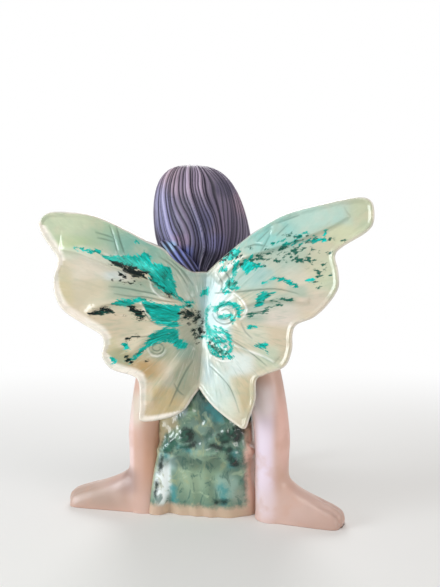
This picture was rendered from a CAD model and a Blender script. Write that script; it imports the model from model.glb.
# Fairy figurine seen from behind: fine surfaces and hand-painted finish over the cast solid
# x runs to the figure's left, y to its back and z up; sizes are millimetres, MM turns them into metres
import math

import bpy
import bmesh
import numpy as np
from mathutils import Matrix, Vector, geometry


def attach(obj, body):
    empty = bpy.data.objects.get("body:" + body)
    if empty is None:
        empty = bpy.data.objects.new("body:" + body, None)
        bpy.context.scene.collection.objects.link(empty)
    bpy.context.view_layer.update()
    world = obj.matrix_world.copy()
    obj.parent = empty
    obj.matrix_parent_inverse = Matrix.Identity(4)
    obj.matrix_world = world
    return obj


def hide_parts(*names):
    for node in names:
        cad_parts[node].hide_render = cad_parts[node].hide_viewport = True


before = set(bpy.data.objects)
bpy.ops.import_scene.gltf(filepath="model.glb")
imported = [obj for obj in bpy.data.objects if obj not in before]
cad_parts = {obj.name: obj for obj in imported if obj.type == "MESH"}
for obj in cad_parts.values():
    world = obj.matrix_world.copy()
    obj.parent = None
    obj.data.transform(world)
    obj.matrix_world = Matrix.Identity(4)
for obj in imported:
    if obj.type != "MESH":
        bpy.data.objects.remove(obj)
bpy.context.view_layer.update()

MM = 0.001

# How far forms reach under the ground before they are cut flat on it, and how fine each surface's mesh is
CUT_DEPTH = 1.5
SKIN_GRID = 0.33
DRESS_GRID = 0.26
WING_BACK_GRID = 0.18
WING_FRONT_GRID = 0.8

# Camera: the side it stands on, its height angle, its distance, what it looks at and its lens
CAMERA_SIDE = 12.0
CAMERA_RISE = 1.0
CAMERA_DISTANCE = 140.0
CAMERA_TARGET = (-3.8, 4.0, 47.5)
CAMERA_LENS = 40.18

# Floor, the light from all around and the lamps: name, place, size, power and colour
FLOOR_SIZE = 3000.0
FLOOR_PLAIN = 60.0
FLOOR_WHITE = 260.0
FLOOR_COLOR = (238, 237, 235)
FLOOR_Z = -0.03
SKY_LIGHT = 0.38
LAMP_TARGET = (0, 5, 35)
LAMPS = (
    ("key", (295, 200, 90), 220, 0.98, (0.90, 0.96, 1.0)),
    ("top", (-60, 200, 300), 160, 0.24, (1.0, 0.97, 0.94)),
    ("side", (-300, 150, 90), 160, 0.26, (1.0, 0.95, 0.92)),
    ("front", (60, -300, 220), 200, 0.45, (1.0, 1.0, 1.0)),
)

# Body and dress
SEAT_CENTRE_X = 0.2
SEAT_HALF_WIDTH = 11.6
SEAT_BACK_Y = 6.2
SEAT_FRONT_Y = -9.0
WAIST_Z = 23.0
WAIST_HALF_WIDTH = 10.6
WAIST_BACK_Y = 7.6
CHEST_Z = 36.0
CHEST_HALF_WIDTH = 10.2
CHEST_BACK_Y = 8.1
CHEST_FRONT_Y = -6.4
SHOULDER_Z = 43.0
SHOULDER_HALF_WIDTH = 9.2
SHOULDER_Y = 3.0
NECK_RADIUS = 3.5
DRESS_TOP_Z = 39.5
BODY_SQUARENESS = 2.7
SKIRT_SQUARENESS = 3.0
FOLD_COUNT = 13
FOLD_DEPTH = 0.45
FOLD_TOP_Z = 14.0
SWAG_Z = 14.6
SWAG_HEIGHT = 0.5
SWAG_WIDTH = 1.1
# Rosettes: x, z, radius and height. Leaves: x, z, turn in degrees, length, width and height
ROSETTES = (
    (2.7, 17.6, 1.9, 1.0), (-7.2, 18.2, 2.1, 0.9), (6.6, 14.6, 1.7, 0.9),
    (-6.9, 13.0, 1.9, 0.8), (1.9, 22.0, 1.9, 0.8), (0.7, 13.2, 1.2, 0.5),
)
LEAVES = (
    (-0.9, 18.6, 20, 2.2, 1.0, 0.6), (-3.9, 17.0, -25, 2.4, 1.1, 0.7), (4.9, 16.3, 55, 1.8, 0.9, 0.6),
    (-9.2, 15.6, 70, 2.0, 0.9, 0.6), (-3.6, 13.9, 10, 2.2, 0.8, 0.5), (3.8, 14.3, -20, 1.8, 0.8, 0.5),
    (-2.6, 21.6, -60, 2.4, 1.1, 0.5), (-5.0, 22.0, 60, 2.2, 1.0, 0.4), (0.2, 25.4, 80, 2.4, 1.2, 0.5),
)
# Uneven cast surface: height, size of the lumps and seed
DRESS_LUMPS = ((0.6, 2.3, 21), (0.4, 0.9, 22))
# The thick fold down the left of the back: its path and its radii
SIDE_FOLD = ((5.4, 5.4, 20.0), (7.6, 5.4, 14.5), (8.9, 5.1, 8.0), (9.9, 5.1, -1.0))
SIDE_FOLD_RADII = (0.9, 1.5, 1.9, 2.2)
SKIRT_FRONT_Y = -20.0
SKIRT_TOP_Z = 14.5
SKIRT_HEM_TOP_Z = 11.8
SKIRT_HALF_WIDTH = 11.5
THIGH_VALLEY = 1.6

# Legs and feet
LEG_X = 5.6
KNEE_RADIUS = 4.3
KNEE_Y = -21.0
ANKLE_RADIUS = 2.7
ANKLE_Y = -33.5
HEEL_Y = -35.0
FOOT_HEIGHT = 11.0
FOOT_HALF_WIDTH = 2.9
FOOT_THICKNESS = 3.4
# Foot: share of its height, share of its width, and how far it tips forward
FOOT_ROWS = (
    (-0.15, 0.62, 0.0), (0.05, 0.85, -0.1), (0.3, 0.82, 0.0), (0.55, 0.95, 0.2), (0.75, 1.0, 0.35),
    (0.88, 0.9, 0.45),
)
TOE_RADIUS = 1.15
TOE_SIZES = (1.25, 1.0, 0.95, 0.88, 0.8)

# Arms and hands
ARM_RADIUS = 3.8
RIGHT_ARM_X = (-9.2, -12.9, -14.9, -14.9, -15.1)
LEFT_ARM_X = (9.0, 11.0, 12.9, 13.0, 13.2)
ARM_Z = (43.0, 31.0, 18.0, 8.4, -1.5)
ARM_Y = 3.4
WRIST_RADIUS = 3.65
LEFT_HAND_LENGTH = 17.9
RIGHT_HAND_LENGTH = 15.1
LEFT_HAND_TURN = 0.0
RIGHT_HAND_TURN = 9.0
HAND_HALF_BREADTH = 3.5
FINGER_RADIUS = 1.3
THUMB_LENGTH = 9.0
# Hand: share of its length, height, share of its breadth, and how square it is across
HAND_ROWS = (
    (-0.08, 5.0, 0.60, 3.0), (0.05, 9.4, 1.03, 3.4), (0.20, 8.6, 1.05, 3.2), (0.36, 7.0, 1.04, 2.8),
    (0.54, 5.8, 1.04, 2.5), (0.72, 4.7, 1.03, 2.3), (0.86, 3.9, 1.0, 2.2), (0.95, 3.1, 0.94, 2.1),
    (0.985, 2.4, 0.82, 2.0), (1.0, 1.2, 0.60, 2.0),
)
# Grooves between the fingers: their places across the hand, as shares of its half breadth
FINGER_GAPS = (-0.5, 0.0, 0.52)
FINGER_GAP_WIDTH = 0.07
FINGER_GAP_DEPTH = 0.55
# How far the middle finger reaches, as a share of the hand's length
MIDDLE_FINGER_REACH = 0.985

# Head, face and hair
HEAD_X = 1.2
HEAD_Y = 0.4
HEAD_Z = 62.6
HEAD_LEAN = 0.15
HEAD_HALF_WIDTH = 9.0
HEAD_HALF_DEPTH = 9.2
HEAD_HALF_HEIGHT = 11.4
NOSE_LENGTH = 1.5
EYE_SPACING = 3.7
EYE_HALF_WIDTH = 1.7
EYE_Z = 61.6
MOUTH_Z = 56.6
HAIR_THICKNESS = 1.3
HAIR_BACK = 1.2
HAIR_DROP = 1.9
HAIR_CLUMPS = 22
HAIR_STRANDS = 70
HAIR_GROOVE = 0.40
HAIR_FULLNESS = 0.62
# Waves of the strands: how many around, how fast they change downwards, how far they reach, and seed
HAIR_WAVES = ((5, 1.1, 0.060, 3), (13, 1.8, 0.018, 4), (41, 3.4, 0.005, 6))
HAIRLINE_Z = 70.0
HAIRLINE_HALF_WIDTH = 7.2
LOCK_RADIUS = 1.35
LOCK_PATH = (
    (7.4, 8.8, 58.0), (5.8, 10.2, 57.2), (4.2, 11.0, 56.2), (2.7, 11.1, 55.0), (1.3, 10.7, 53.8),
    (0.1, 9.7, 52.5),
)

# Wings
WING_THICKNESS = 1.1
WING_ROOT_Y = 8.5
WING_FOLD = 3.2
WING_FOLD_REACH = 6.0
WING_SPREAD = 0.08
WING_ROOT_HALF_WIDTH = 3.2
RIM_WIDTH = 1.3
RIM_HEIGHT = 0.3
CURL_HEIGHT = 0.20
PALE_HEIGHT = 0.26
FINE_HEIGHT = 0.14
ENGRAVED_DEPTH = 0.14
WING_LUMPS = 0.14
# The grids of the two faces lie inside these
WING_SPAN_X = (-37.0, 34.0)
WING_SPAN_Z = (20.0, 67.0)
# Brushed waves that spread from the spine: height, how fast they change outwards, how many, and seed
BRUSHED_WAVES = ((0.16, 0.12, 110, 31), (0.09, 0.3, 270, 34))
# Rounded edge of the sheet: distance inwards from the outline, and out from the middle of the thickness
WING_ROUNDING = ((0.0, 0.0), (0.08, 0.22), (0.24, 0.40), (0.42, 0.5 * WING_THICKNESS))
# Where the two wings meet, and the height that their veins and brushed streaks spread from
SPINE_TOP = (-2.1, 52.2)
SPINE_BOTTOM = (-0.4, 27.7)
ROOT_Z = 42.0

# Outlines and lines of the wings: x and z of each point
LEFT_WING = (
    SPINE_TOP, (0.4, 52.2), (2.0, 53.1), (4.0, 54.8), (6.6, 57.0), (9.6, 58.4), (13.6, 60.6),
    (20.3, 63.6), (26.1, 64.5), (30.6, 64.4),
    (32.7, 62.2), (32.1, 60.0), (30.0, 56.9), (28.6, 54.6), (29.5, 51.2), (29.4, 47.7),
    (27.6, 44.1), (23.3, 41.2), (19.6, 39.0), (18.9, 37.2), (19.3, 34.6), (17.3, 31.9),
    (13.1, 30.6), (11.6, 29.2), (11.4, 24.7), (11.2, 21.2), (6.1, 21.7), (2.7, 23.2),
    (0.8, 26.0), SPINE_BOTTOM,
)
RIGHT_WING = (
    SPINE_TOP, (-6.7, 55.8), (-12.9, 60.2), (-18.5, 63.2), (-25.6, 64.9), (-32.5, 66.0),
    (-35.2, 65.0), (-35.6, 61.6), (-34.3, 59.4), (-29.9, 56.7), (-28.4, 55.0), (-29.0, 52.0),
    (-29.0, 48.8), (-27.0, 45.6), (-24.3, 43.1), (-21.0, 41.6), (-20.2, 39.6), (-20.1, 36.7),
    (-18.7, 33.4), (-14.6, 31.5), (-13.0, 30.4), (-12.8, 26.5), (-11.6, 22.8), (-10.5, 20.5),
    (-8.0, 21.6), (-4.1, 24.1), (-1.7, 26.2), SPINE_BOTTOM,
)
# Ridges: height, how far they fall away above and below, and points from the spine outwards
RIDGES = (
    (1.40, 2.4, 0.50, (1.5, 45.2), (4.6, 47.6), (8.6, 50.6), (13.9, 52.4), (18.5, 54.1), (23.9, 56.2),
     (28.0, 56.8)),
    (0.95, 1.4, 0.45, (1.5, 43.4), (6.0, 44.9), (12.8, 45.6), (17.3, 45.6), (20.6, 44.4), (22.0, 42.8)),
    (0.40, 1.0, 0.70, (3.0, 41.2), (7.0, 40.2), (10.8, 37.6), (14.8, 33.8)),
    (0.55, 1.3, 0.80, (0.6, 36.5), (3.7, 32.2), (6.6, 29.0), (9.6, 24.2)),
    (0.18, 0.6, 0.60, (14.4, 54.4), (15.4, 57.6), (16.9, 62.2)),
    (1.05, 2.0, 0.42, (-4.6, 49.8), (-8.6, 53.4), (-12.0, 55.3), (-19.6, 57.6), (-26.6, 60.2),
     (-31.0, 62.6)),
    (0.70, 1.3, 0.45, (-9.6, 44.9), (-12.6, 46.0), (-17.7, 46.6), (-23.5, 46.0)),
    (0.65, 1.2, 0.60, (-8.1, 42.0), (-10.1, 40.3), (-13.8, 37.3), (-17.2, 34.6)),
    (0.55, 1.4, 0.80, (-3.4, 34.6), (-6.6, 31.6), (-9.4, 27.4), (-10.8, 23.0)),
    (0.30, 0.9, 0.70, (-4.6, 34.4), (-8.9, 33.0), (-13.0, 31.6)),
    (0.16, 0.5, 0.50, (-14.0, 55.8), (-15.7, 58.2), (-16.9, 61.2)),
)
# Curls: x, z, half width, half height and the angle in degrees that they start at
SPIRALS = (
    (-6.4, 43.9, 2.9, 2.5, 20), (-5.1, 36.7, 3.0, 2.4, 200), (7.6, 36.7, 1.9, 1.6, 120),
)
# Raised lines where the paint is worn pale
PALE_LINES = (
    ((-6.6, 48.8), (-8.6, 47.6), (-10.4, 46.0), (-11.1, 44.4), (-10.6, 43.2), (-9.6, 42.2)),
    ((-8.3, 37.3), (-11.7, 36.2), (-14.2, 35.4), (-16.8, 34.2)), ((-3.6, 35.0), (-5.6, 34.0), (-8.0, 34.2)),
    ((9.0, 51.0), (8.6, 48.8), (7.0, 47.0), (4.8, 46.2)), ((10.6, 46.2), (10.1, 44.0), (8.8, 42.6)),
    ((5.8, 36.2), (6.6, 34.9), (8.6, 34.8), (9.5, 36.4)),
)
FINE_VEINS = (
    ((2.7, 46.6), (6.3, 47.2), (8.5, 47.9), (11.7, 48.5), (15.0, 49.1), (17.7, 49.3)),
    ((3.4, 46.0), (6.3, 46.4), (9.6, 47.1), (12.8, 47.3), (16.6, 47.9)),
    ((-4.0, 47.9), (-9.5, 48.3), (-16.7, 48.9), (-21.6, 47.9)),
    ((-9.6, 43.4), (-12.0, 44.0), (-15.6, 44.6)),
    ((10.2, 46.4), (10.0, 44.0), (8.8, 42.2), (6.4, 41.4), (3.0, 41.6)),
    ((9.2, 45.6), (8.6, 43.4), (6.4, 42.0)), ((2.6, 43.0), (8.3, 39.4), (13.4, 39.0)),
    ((-6.0, 39.6), (-11.6, 36.4), (-15.3, 33.6)), ((0.6, 34.2), (2.6, 30.7), (5.3, 24.6)),
    ((-3.0, 33.0), (-7.4, 29.2), (-9.6, 24.0)),
)
ENGRAVED = (
    ((20.4, 60.5), (18.5, 60.0), (16.2, 59.2)), ((20.0, 59.4), (18.2, 59.0), (16.0, 58.4)),
    ((17.4, 62.0), (16.4, 59.0), (15.4, 55.3)), ((15.9, 62.0), (15.1, 58.6), (14.0, 55.6)),
    ((7.4, 55.6), (4.6, 53.6), (2.4, 51.0), (1.0, 47.8)), ((8.6, 54.6), (5.4, 51.8), (3.6, 49.6)),
    ((5.8, 55.4), (3.2, 53.2), (1.2, 50.2)), ((4.6, 54.4), (2.4, 52.4), (0.4, 49.4)),
    ((-14.0, 56.2), (-14.9, 57.7), (-15.9, 59.8)), ((-13.0, 58.0), (-16.1, 61.0)),
    ((-16.9, 61.7), (-21.6, 63.2)), ((-10.4, 57.0), (-12.6, 57.6), (-15.4, 57.2)),
    ((-17.0, 59.2), (-19.4, 61.6)), ((-4.2, 52.4), (-5.8, 50.0), (-5.4, 47.6)),
    ((-5.6, 53.4), (-7.4, 50.8), (-7.2, 48.0)), ((-9.8, 42.2), (-10.8, 40.4), (-12.4, 39.0)),
    ((4.3, 29.4), (3.6, 27.8), (2.4, 26.8)),
)

# Paint on the rim of the wings, on their worn lines, and on the face and other skin towards the front
RIM_COLOR = (242, 234, 222)
WORN_COLOR = (250, 250, 246)
SKIN_FRONT_COLOR = (206, 168, 151)
# Paint on the wings: soft dabs of colour, with x and z of the middle, reach each way, colour and strength
WING_DABS = (
    (0.0, 42.0, 60.0, 60.0, (202, 191, 165), 1.0), (27.5, 60.5, 8.0, 4.6, (186, 196, 166), 1.0),
    (24.5, 57.8, 5.0, 2.0, (180, 195, 148), 0.9), (17.5, 60.5, 4.5, 3.5, (158, 180, 150), 1.0),
    (11.5, 57.0, 6.5, 3.8, (122, 166, 150), 1.0), (24.0, 56.0, 4.5, 1.4, (202, 206, 186), 0.8),
    (21.5, 53.0, 5.0, 2.6, (212, 207, 194), 0.7), (27.8, 47.0, 2.4, 5.4, (200, 188, 152), 0.9),
    (11.5, 48.3, 6.5, 2.1, (144, 165, 146), 0.9), (16.0, 51.2, 2.8, 1.3, (194, 204, 202), 0.8),
    (4.0, 51.5, 4.0, 4.0, (152, 174, 156), 0.9), (18.0, 41.0, 4.5, 2.8, (202, 185, 159), 0.9),
    (18.4, 36.6, 2.2, 2.4, (200, 188, 150), 0.8), (16.0, 34.0, 2.8, 1.8, (164, 162, 126), 0.9),
    (11.5, 33.4, 3.4, 2.4, (182, 161, 120), 0.9), (7.6, 35.8, 2.8, 2.2, (150, 160, 134), 0.8),
    (1.2, 38.0, 2.6, 8.0, (156, 158, 138), 0.9), (0.0, 49.5, 3.0, 3.6, (158, 180, 172), 0.9),
    (7.0, 25.2, 5.0, 4.0, (190, 169, 125), 1.0), (9.7, 28.0, 1.0, 4.0, (212, 194, 168), 0.8),
    (5.8, 30.8, 1.2, 2.6, (206, 198, 180), 0.8), (2.6, 29.6, 2.6, 3.6, (152, 156, 132), 0.9),
    (-14.0, 59.4, 9.5, 4.2, (142, 198, 190), 1.0), (-26.0, 62.4, 7.0, 2.8, (172, 202, 190), 1.0),
    (-33.6, 62.6, 2.6, 3.6, (184, 192, 160), 0.9), (-30.0, 58.8, 4.0, 1.8, (198, 202, 168), 0.9),
    (-12.0, 51.2, 5.0, 3.2, (166, 198, 190), 0.9), (-18.5, 53.0, 4.0, 2.6, (168, 188, 174), 0.9),
    (-22.0, 50.2, 3.4, 2.4, (206, 200, 182), 0.8), (-26.6, 52.0, 3.0, 4.6, (192, 200, 170), 0.9),
    (-16.5, 46.2, 4.5, 1.8, (164, 184, 168), 0.8), (-23.8, 46.4, 3.4, 2.4, (214, 196, 178), 0.9),
    (-13.2, 43.4, 2.8, 1.8, (160, 178, 166), 0.8), (-18.2, 43.2, 3.6, 2.2, (214, 203, 192), 0.9),
    (-12.6, 39.2, 3.0, 2.0, (204, 206, 186), 0.8), (-17.2, 38.8, 2.6, 2.6, (204, 188, 162), 0.8),
    (-15.4, 35.0, 2.8, 2.2, (190, 200, 176), 0.9), (-9.6, 33.4, 3.2, 2.2, (218, 228, 224), 0.9),
    (-4.6, 43.0, 3.4, 9.0, (198, 220, 220), 0.9), (-5.0, 28.8, 4.0, 5.6, (202, 217, 210), 1.0),
    (-11.2, 27.5, 1.8, 4.0, (196, 178, 140), 0.9), (-2.4, 45.5, 1.8, 5.0, (152, 190, 194), 0.8),
    (-2.0, 31.6, 1.4, 3.0, (164, 186, 186), 0.8), (10.2, 31.8, 3.6, 2.2, (180, 148, 98), 1.0),
    (14.8, 34.4, 2.2, 1.6, (158, 154, 118), 0.9), (2.4, 35.8, 2.4, 1.8, (122, 146, 132), 0.8),
    (-21.6, 48.4, 2.2, 1.2, (160, 180, 162), 0.8), (-14.6, 51.4, 1.8, 1.4, (154, 190, 184), 0.8),
    (-7.4, 25.0, 2.4, 2.2, (218, 218, 196), 0.45), (-9.4, 29.4, 1.6, 2.0, (206, 196, 164), 0.6),
)
# Patches of teal foil and of dark paint: x and z around each. Strokes: width, then x and z along them
TEAL_PATCHES = (
    ((18.9, 55.7), (17.2, 54.3), (13.5, 53.3), (9.2, 51.8), (8.1, 49.8), (7.1, 48.5), (5.7, 47.6),
     (4.0, 47.0), (3.5, 48.8), (4.4, 51.0), (5.0, 53.1), (8.7, 53.9), (8.9, 55.2), (10.3, 56.5),
     (10.6, 55.4), (16.5, 55.2)),
    ((21.7, 56.5), (19.0, 56.6), (19.0, 55.8), (20.9, 56.0)),
    ((17.1, 45.4), (15.2, 46.3), (11.1, 46.1), (13.2, 45.0), (15.9, 45.1)),
    ((10.2, 46.0), (8.8, 45.8), (5.4, 45.4), (3.5, 45.1), (3.0, 44.4), (3.1, 42.2), (5.4, 41.9),
     (5.7, 41.0), (7.7, 41.3), (9.2, 42.7), (10.3, 44.1)),
    ((13.8, 33.8), (12.1, 35.1), (10.1, 37.1), (9.1, 38.9), (6.1, 40.6), (3.5, 40.4), (3.3, 38.4),
     (1.4, 37.1), (2.3, 36.1), (3.7, 36.4), (4.7, 37.6), (7.6, 37.6), (10.1, 36.1), (11.3, 34.6),
     (13.4, 33.3)),
    ((7.8, 41.9), (6.2, 41.2), (4.6, 40.4), (3.2, 41.0), (3.6, 42.2), (5.6, 42.2)),
    ((15.1, 37.6), (13.8, 37.5), (13.2, 36.3), (14.2, 36.2)),
    ((17.3, 34.3), (16.4, 34.4), (16.3, 33.5), (17.1, 33.4)),
    ((-9.0, 53.6), (-11.4, 54.2), (-14.6, 53.2), (-12.8, 52.6), (-11.8, 52.2), (-11.1, 51.3),
     (-10.5, 52.2)),
    ((-5.8, 54.5), (-7.0, 55.7), (-8.4, 56.6), (-10.3, 56.2), (-8.9, 55.0), (-7.9, 54.3)),
    ((-5.0, 52.0), (-5.7, 52.8), (-7.3, 52.8), (-6.9, 52.0)),
    ((-0.4, 46.9), (-1.3, 48.1), (-2.6, 49.0), (-2.5, 47.5)),
    ((-6.3, 49.8), (-8.0, 50.6), (-9.6, 48.5), (-7.3, 48.5)),
    ((-12.6, 45.0), (-13.4, 47.4), (-14.4, 48.0), (-16.8, 48.0), (-14.9, 46.6), (-14.1, 45.2)),
    ((-1.9, 41.5), (-3.0, 41.0), (-3.4, 39.0), (-2.0, 39.0)),
)
TEAL_STROKES = (
    (0.8, (-9.4, 53.8), (-8.6, 52.2), (-7.7, 50.4), (-6.0, 48.2)),
    (0.7, (-16.6, 50.8), (-18.9, 50.2), (-21.1, 49.2)),
    (0.8, (-4.1, 44.2), (-5.3, 45.2), (-7.2, 45.7), (-8.9, 45.4), (-9.9, 44.5)),
    (0.9, (-5.2, 42.9), (-7.7, 43.2), (-8.0, 42.2)),
    (0.8, (-2.4, 40.4), (-4.0, 39.6), (-6.6, 40.0), (-7.6, 38.6)),
    (0.8, (-2.6, 38.6), (-4.4, 37.8), (-6.6, 38.0)),
    (0.7, (-2.6, 37.0), (-4.6, 35.6), (-7.2, 35.6), (-8.0, 37.0)),
    (0.6, (-3.4, 36.6), (-5.4, 36.4), (-6.8, 37.0)), (0.6, (-0.7, 38.6), (-3.0, 38.7)),
    (0.7, (-2.5, 37.4), (-3.5, 35.4), (-5.7, 34.8), (-7.9, 34.9)),
    (0.7, (-3.9, 38.5), (-5.3, 36.6), (-6.8, 35.6)),
    (0.7, (-5.5, 40.6), (-6.8, 39.5), (-7.5, 37.9), (-7.7, 36.7)), (0.5, (-2.8, 37.0), (-5.1, 36.1)),
    (0.8, (-4.1, 44.6), (-5.7, 45.7), (-8.1, 45.5), (-9.4, 44.4), (-9.4, 43.2)),
    (0.5, (-5.9, 43.3), (-8.1, 43.1)), (0.6, (-2.2, 43.8), (-2.0, 41.7), (-2.5, 39.7)),
    (0.5, (-3.2, 45.2), (-2.5, 44.0)), (0.9, (-6.6, 47.9), (-8.1, 49.0), (-8.7, 49.8)),
    (0.7, (-8.7, 54.0), (-8.1, 51.2), (-6.6, 48.7)), (0.6, (-5.6, 56.0), (-9.6, 56.4)),
    (0.8, (13.4, 46.1), (10.8, 46.4), (9.0, 46.0)), (0.9, (5.6, 48.8), (4.0, 47.4), (2.4, 46.3)),
    (0.7, (3.4, 44.8), (2.2, 45.0), (0.9, 45.1)), (0.6, (-4.0, 40.9), (-4.6, 39.2), (-4.4, 37.2)),
    (0.6, (-3.0, 39.6), (-4.4, 38.6), (-5.8, 38.6)), (0.4, (-6.6, 55.2), (-7.6, 56.2)),
    (0.4, (-5.2, 53.8), (-6.6, 54.4)), (0.4, (-10.6, 54.0), (-12.4, 55.0)),
    (0.35, (-16.4, 57.4), (-19.0, 58.2)), (0.35, (-21.6, 57.2), (-24.6, 58.6)),
    (0.35, (-14.4, 49.8), (-16.2, 50.6)), (0.7, (-24.2, 57.8), (-26.3, 58.1)),
    (0.5, (-21.0, 58.7), (-22.0, 58.7)), (0.5, (-26.4, 58.6), (-26.6, 59.8)),
    (0.5, (-22.6, 59.2), (-23.6, 59.0)), (0.5, (-18.6, 57.0), (-21.0, 57.9)),
    (0.5, (-11.4, 41.1), (-12.9, 41.1)), (0.8, (-13.2, 37.4), (-14.9, 37.6)),
    (0.4, (-14.6, 37.3), (-15.4, 36.2)), (0.5, (-23.0, 50.4), (-24.2, 50.3)),
    (0.6, (0.6, 45.7), (2.2, 46.0)), (0.5, (-2.0, 43.6), (-2.6, 44.8)), (0.6, (11.8, 58.3), (11.3, 57.9)),
    (0.4, (22.6, 56.8), (24.4, 56.9)), (0.5, (6.6, 52.4), (4.6, 49.2), (3.4, 47.4)),
)
BLACK_PATCHES = (
    ((17.0, 54.4), (15.5, 54.2), (13.2, 53.3), (9.2, 51.8), (9.4, 50.5), (10.5, 50.8), (12.4, 50.9),
     (13.5, 52.0), (15.0, 53.1), (16.3, 53.4)),
    ((21.4, 43.3), (20.6, 44.2), (18.7, 44.6), (16.9, 44.2), (16.2, 43.6), (18.2, 43.9), (19.5, 43.2),
     (20.4, 42.8)),
    ((13.4, 45.1), (12.2, 44.8), (10.9, 44.0), (10.3, 42.7), (11.1, 42.3), (12.0, 43.3), (13.2, 44.2)),
    ((2.4, 43.7), (1.4, 44.2), (0.3, 43.8), (0.2, 43.0), (1.0, 42.6), (2.0, 43.0)),
    ((-0.5, 41.0), (-1.0, 40.4), (-1.1, 39.3), (-0.6, 39.2), (-0.2, 40.2)),
)
BLACK_STROKES = (
    (0.35, (13.8, 38.1), (12.6, 38.6), (11.6, 38.9)), (0.45, (13.8, 34.4), (13.0, 33.4)),
    (0.4, (-13.1, 54.9), (-16.4, 55.9)), (0.4, (-17.7, 56.2), (-19.2, 56.8)),
    (0.3, (-20.2, 56.0), (-22.4, 56.8)), (0.35, (-16.0, 46.3), (-20.3, 46.5)),
    (0.45, (-14.2, 44.0), (-17.8, 45.8)), (0.45, (-11.5, 43.5), (-14.8, 44.0)),
    (0.6, (-14.3, 54.5), (-14.9, 54.5)), (0.7, (-17.2, 54.0), (-17.7, 54.1)),
    (0.7, (-21.2, 54.3), (-21.8, 54.2)), (0.6, (-22.6, 54.8), (-23.4, 54.6)),
    (0.5, (-23.6, 53.9), (-24.0, 53.4)), (0.6, (-24.4, 52.5), (-25.3, 51.8)),
    (0.4, (-27.4, 58.3), (-28.0, 58.3)), (0.5, (-19.0, 59.1), (-19.6, 59.0)),
    (0.3, (14.8, 50.0), (11.0, 49.5)), (0.5, (8.4, 50.4), (6.0, 48.4), (4.6, 47.2)),
    (0.4, (-8.8, 54.6), (-10.3, 55.4)), (0.4, (-12.6, 53.3), (-14.6, 53.4)),
    (0.5, (-7.0, 49.4), (-8.6, 49.8)), (0.25, (-3.0, 37.6), (-5.0, 36.4), (-7.0, 35.9)),
    (0.25, (-3.6, 36.8), (-5.2, 35.8), (-6.8, 35.4)), (0.35, (10.0, 33.6), (9.6, 33.6)),
    (0.3, (-15.0, 55.4), (-12.0, 54.2)),
)
# Clouds of dark flecks: x, z, reach each way and how many
SPECKLES = (
    (-24.0, 55.6, 5.5, 2.2, 22), (-17.0, 55.0, 4.5, 1.4, 18), (-26.0, 51.0, 2.2, 3.0, 10),
    (1.1, 43.5, 1.7, 1.3, 70), (-0.7, 40.4, 0.9, 2.4, 46), (0.4, 42.2, 1.4, 1.2, 20),
    (-8.0, 55.0, 2.4, 1.6, 20), (-22.5, 58.5, 5.0, 1.2, 12), (13.0, 51.4, 4.0, 1.4, 14),
    (12.0, 43.4, 3.0, 1.4, 12),
)

# Paint on the hair, in the same way
HAIR_DABS = (
    (0.0, 62.0, 60.0, 60.0, (138, 126, 150), 1.0), (5.2, 71.4, 3.4, 3.6, (208, 180, 192), 0.9),
    (1.0, 71.2, 3.2, 3.4, (200, 180, 206), 0.9), (7.6, 66.0, 2.6, 4.6, (172, 170, 210), 0.85),
    (6.4, 60.5, 3.2, 4.4, (152, 150, 198), 0.9), (-8.6, 68.4, 1.7, 4.4, (172, 142, 160), 0.9),
    (-5.2, 69.6, 1.5, 2.0, (64, 60, 92), 0.7), (-1.4, 60.6, 2.2, 5.0, (96, 98, 138), 0.85),
    (3.2, 58.0, 1.9, 1.6, (176, 146, 178), 0.8), (-6.4, 60.4, 2.6, 4.0, (132, 118, 148), 0.7),
    (-1.6, 54.8, 3.6, 2.6, (36, 36, 60), 0.95), (2.8, 55.2, 2.6, 2.0, (108, 124, 200), 1.0),
    (5.9, 57.2, 1.6, 1.1, (150, 192, 230), 1.0), (0.6, 53.2, 1.2, 1.2, (66, 76, 136), 1.0),
    (-4.2, 58.0, 1.8, 1.8, (122, 122, 172), 0.8),
)

# Paint on the arms and hands, in the same way
SKIN_DABS = (
    (0.0, 30.0, 80.0, 80.0, (202, 164, 147), 1.0), (13.4, 22.5, 3.0, 3.6, (208, 196, 178), 0.85),
    (10.8, 16.0, 1.7, 9.5, (200, 152, 124), 0.8), (15.6, 14.0, 0.9, 10.0, (234, 208, 206), 0.7),
    (24.0, 4.0, 8.6, 4.0, (168, 144, 130), 0.9), (17.6, 6.8, 3.8, 2.8, (146, 116, 106), 0.9),
    (-13.8, 14.0, 2.2, 12.0, (228, 214, 230), 0.9), (-18.2, 19.0, 1.9, 8.0, (228, 184, 172), 0.85),
    (-25.0, 2.6, 8.6, 4.2, (184, 154, 142), 0.8), (-14.0, 3.6, 2.4, 3.0, (224, 208, 214), 0.7),
    (-13.4, 25.4, 2.4, 3.4, (250, 236, 236), 0.8),
)

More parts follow.
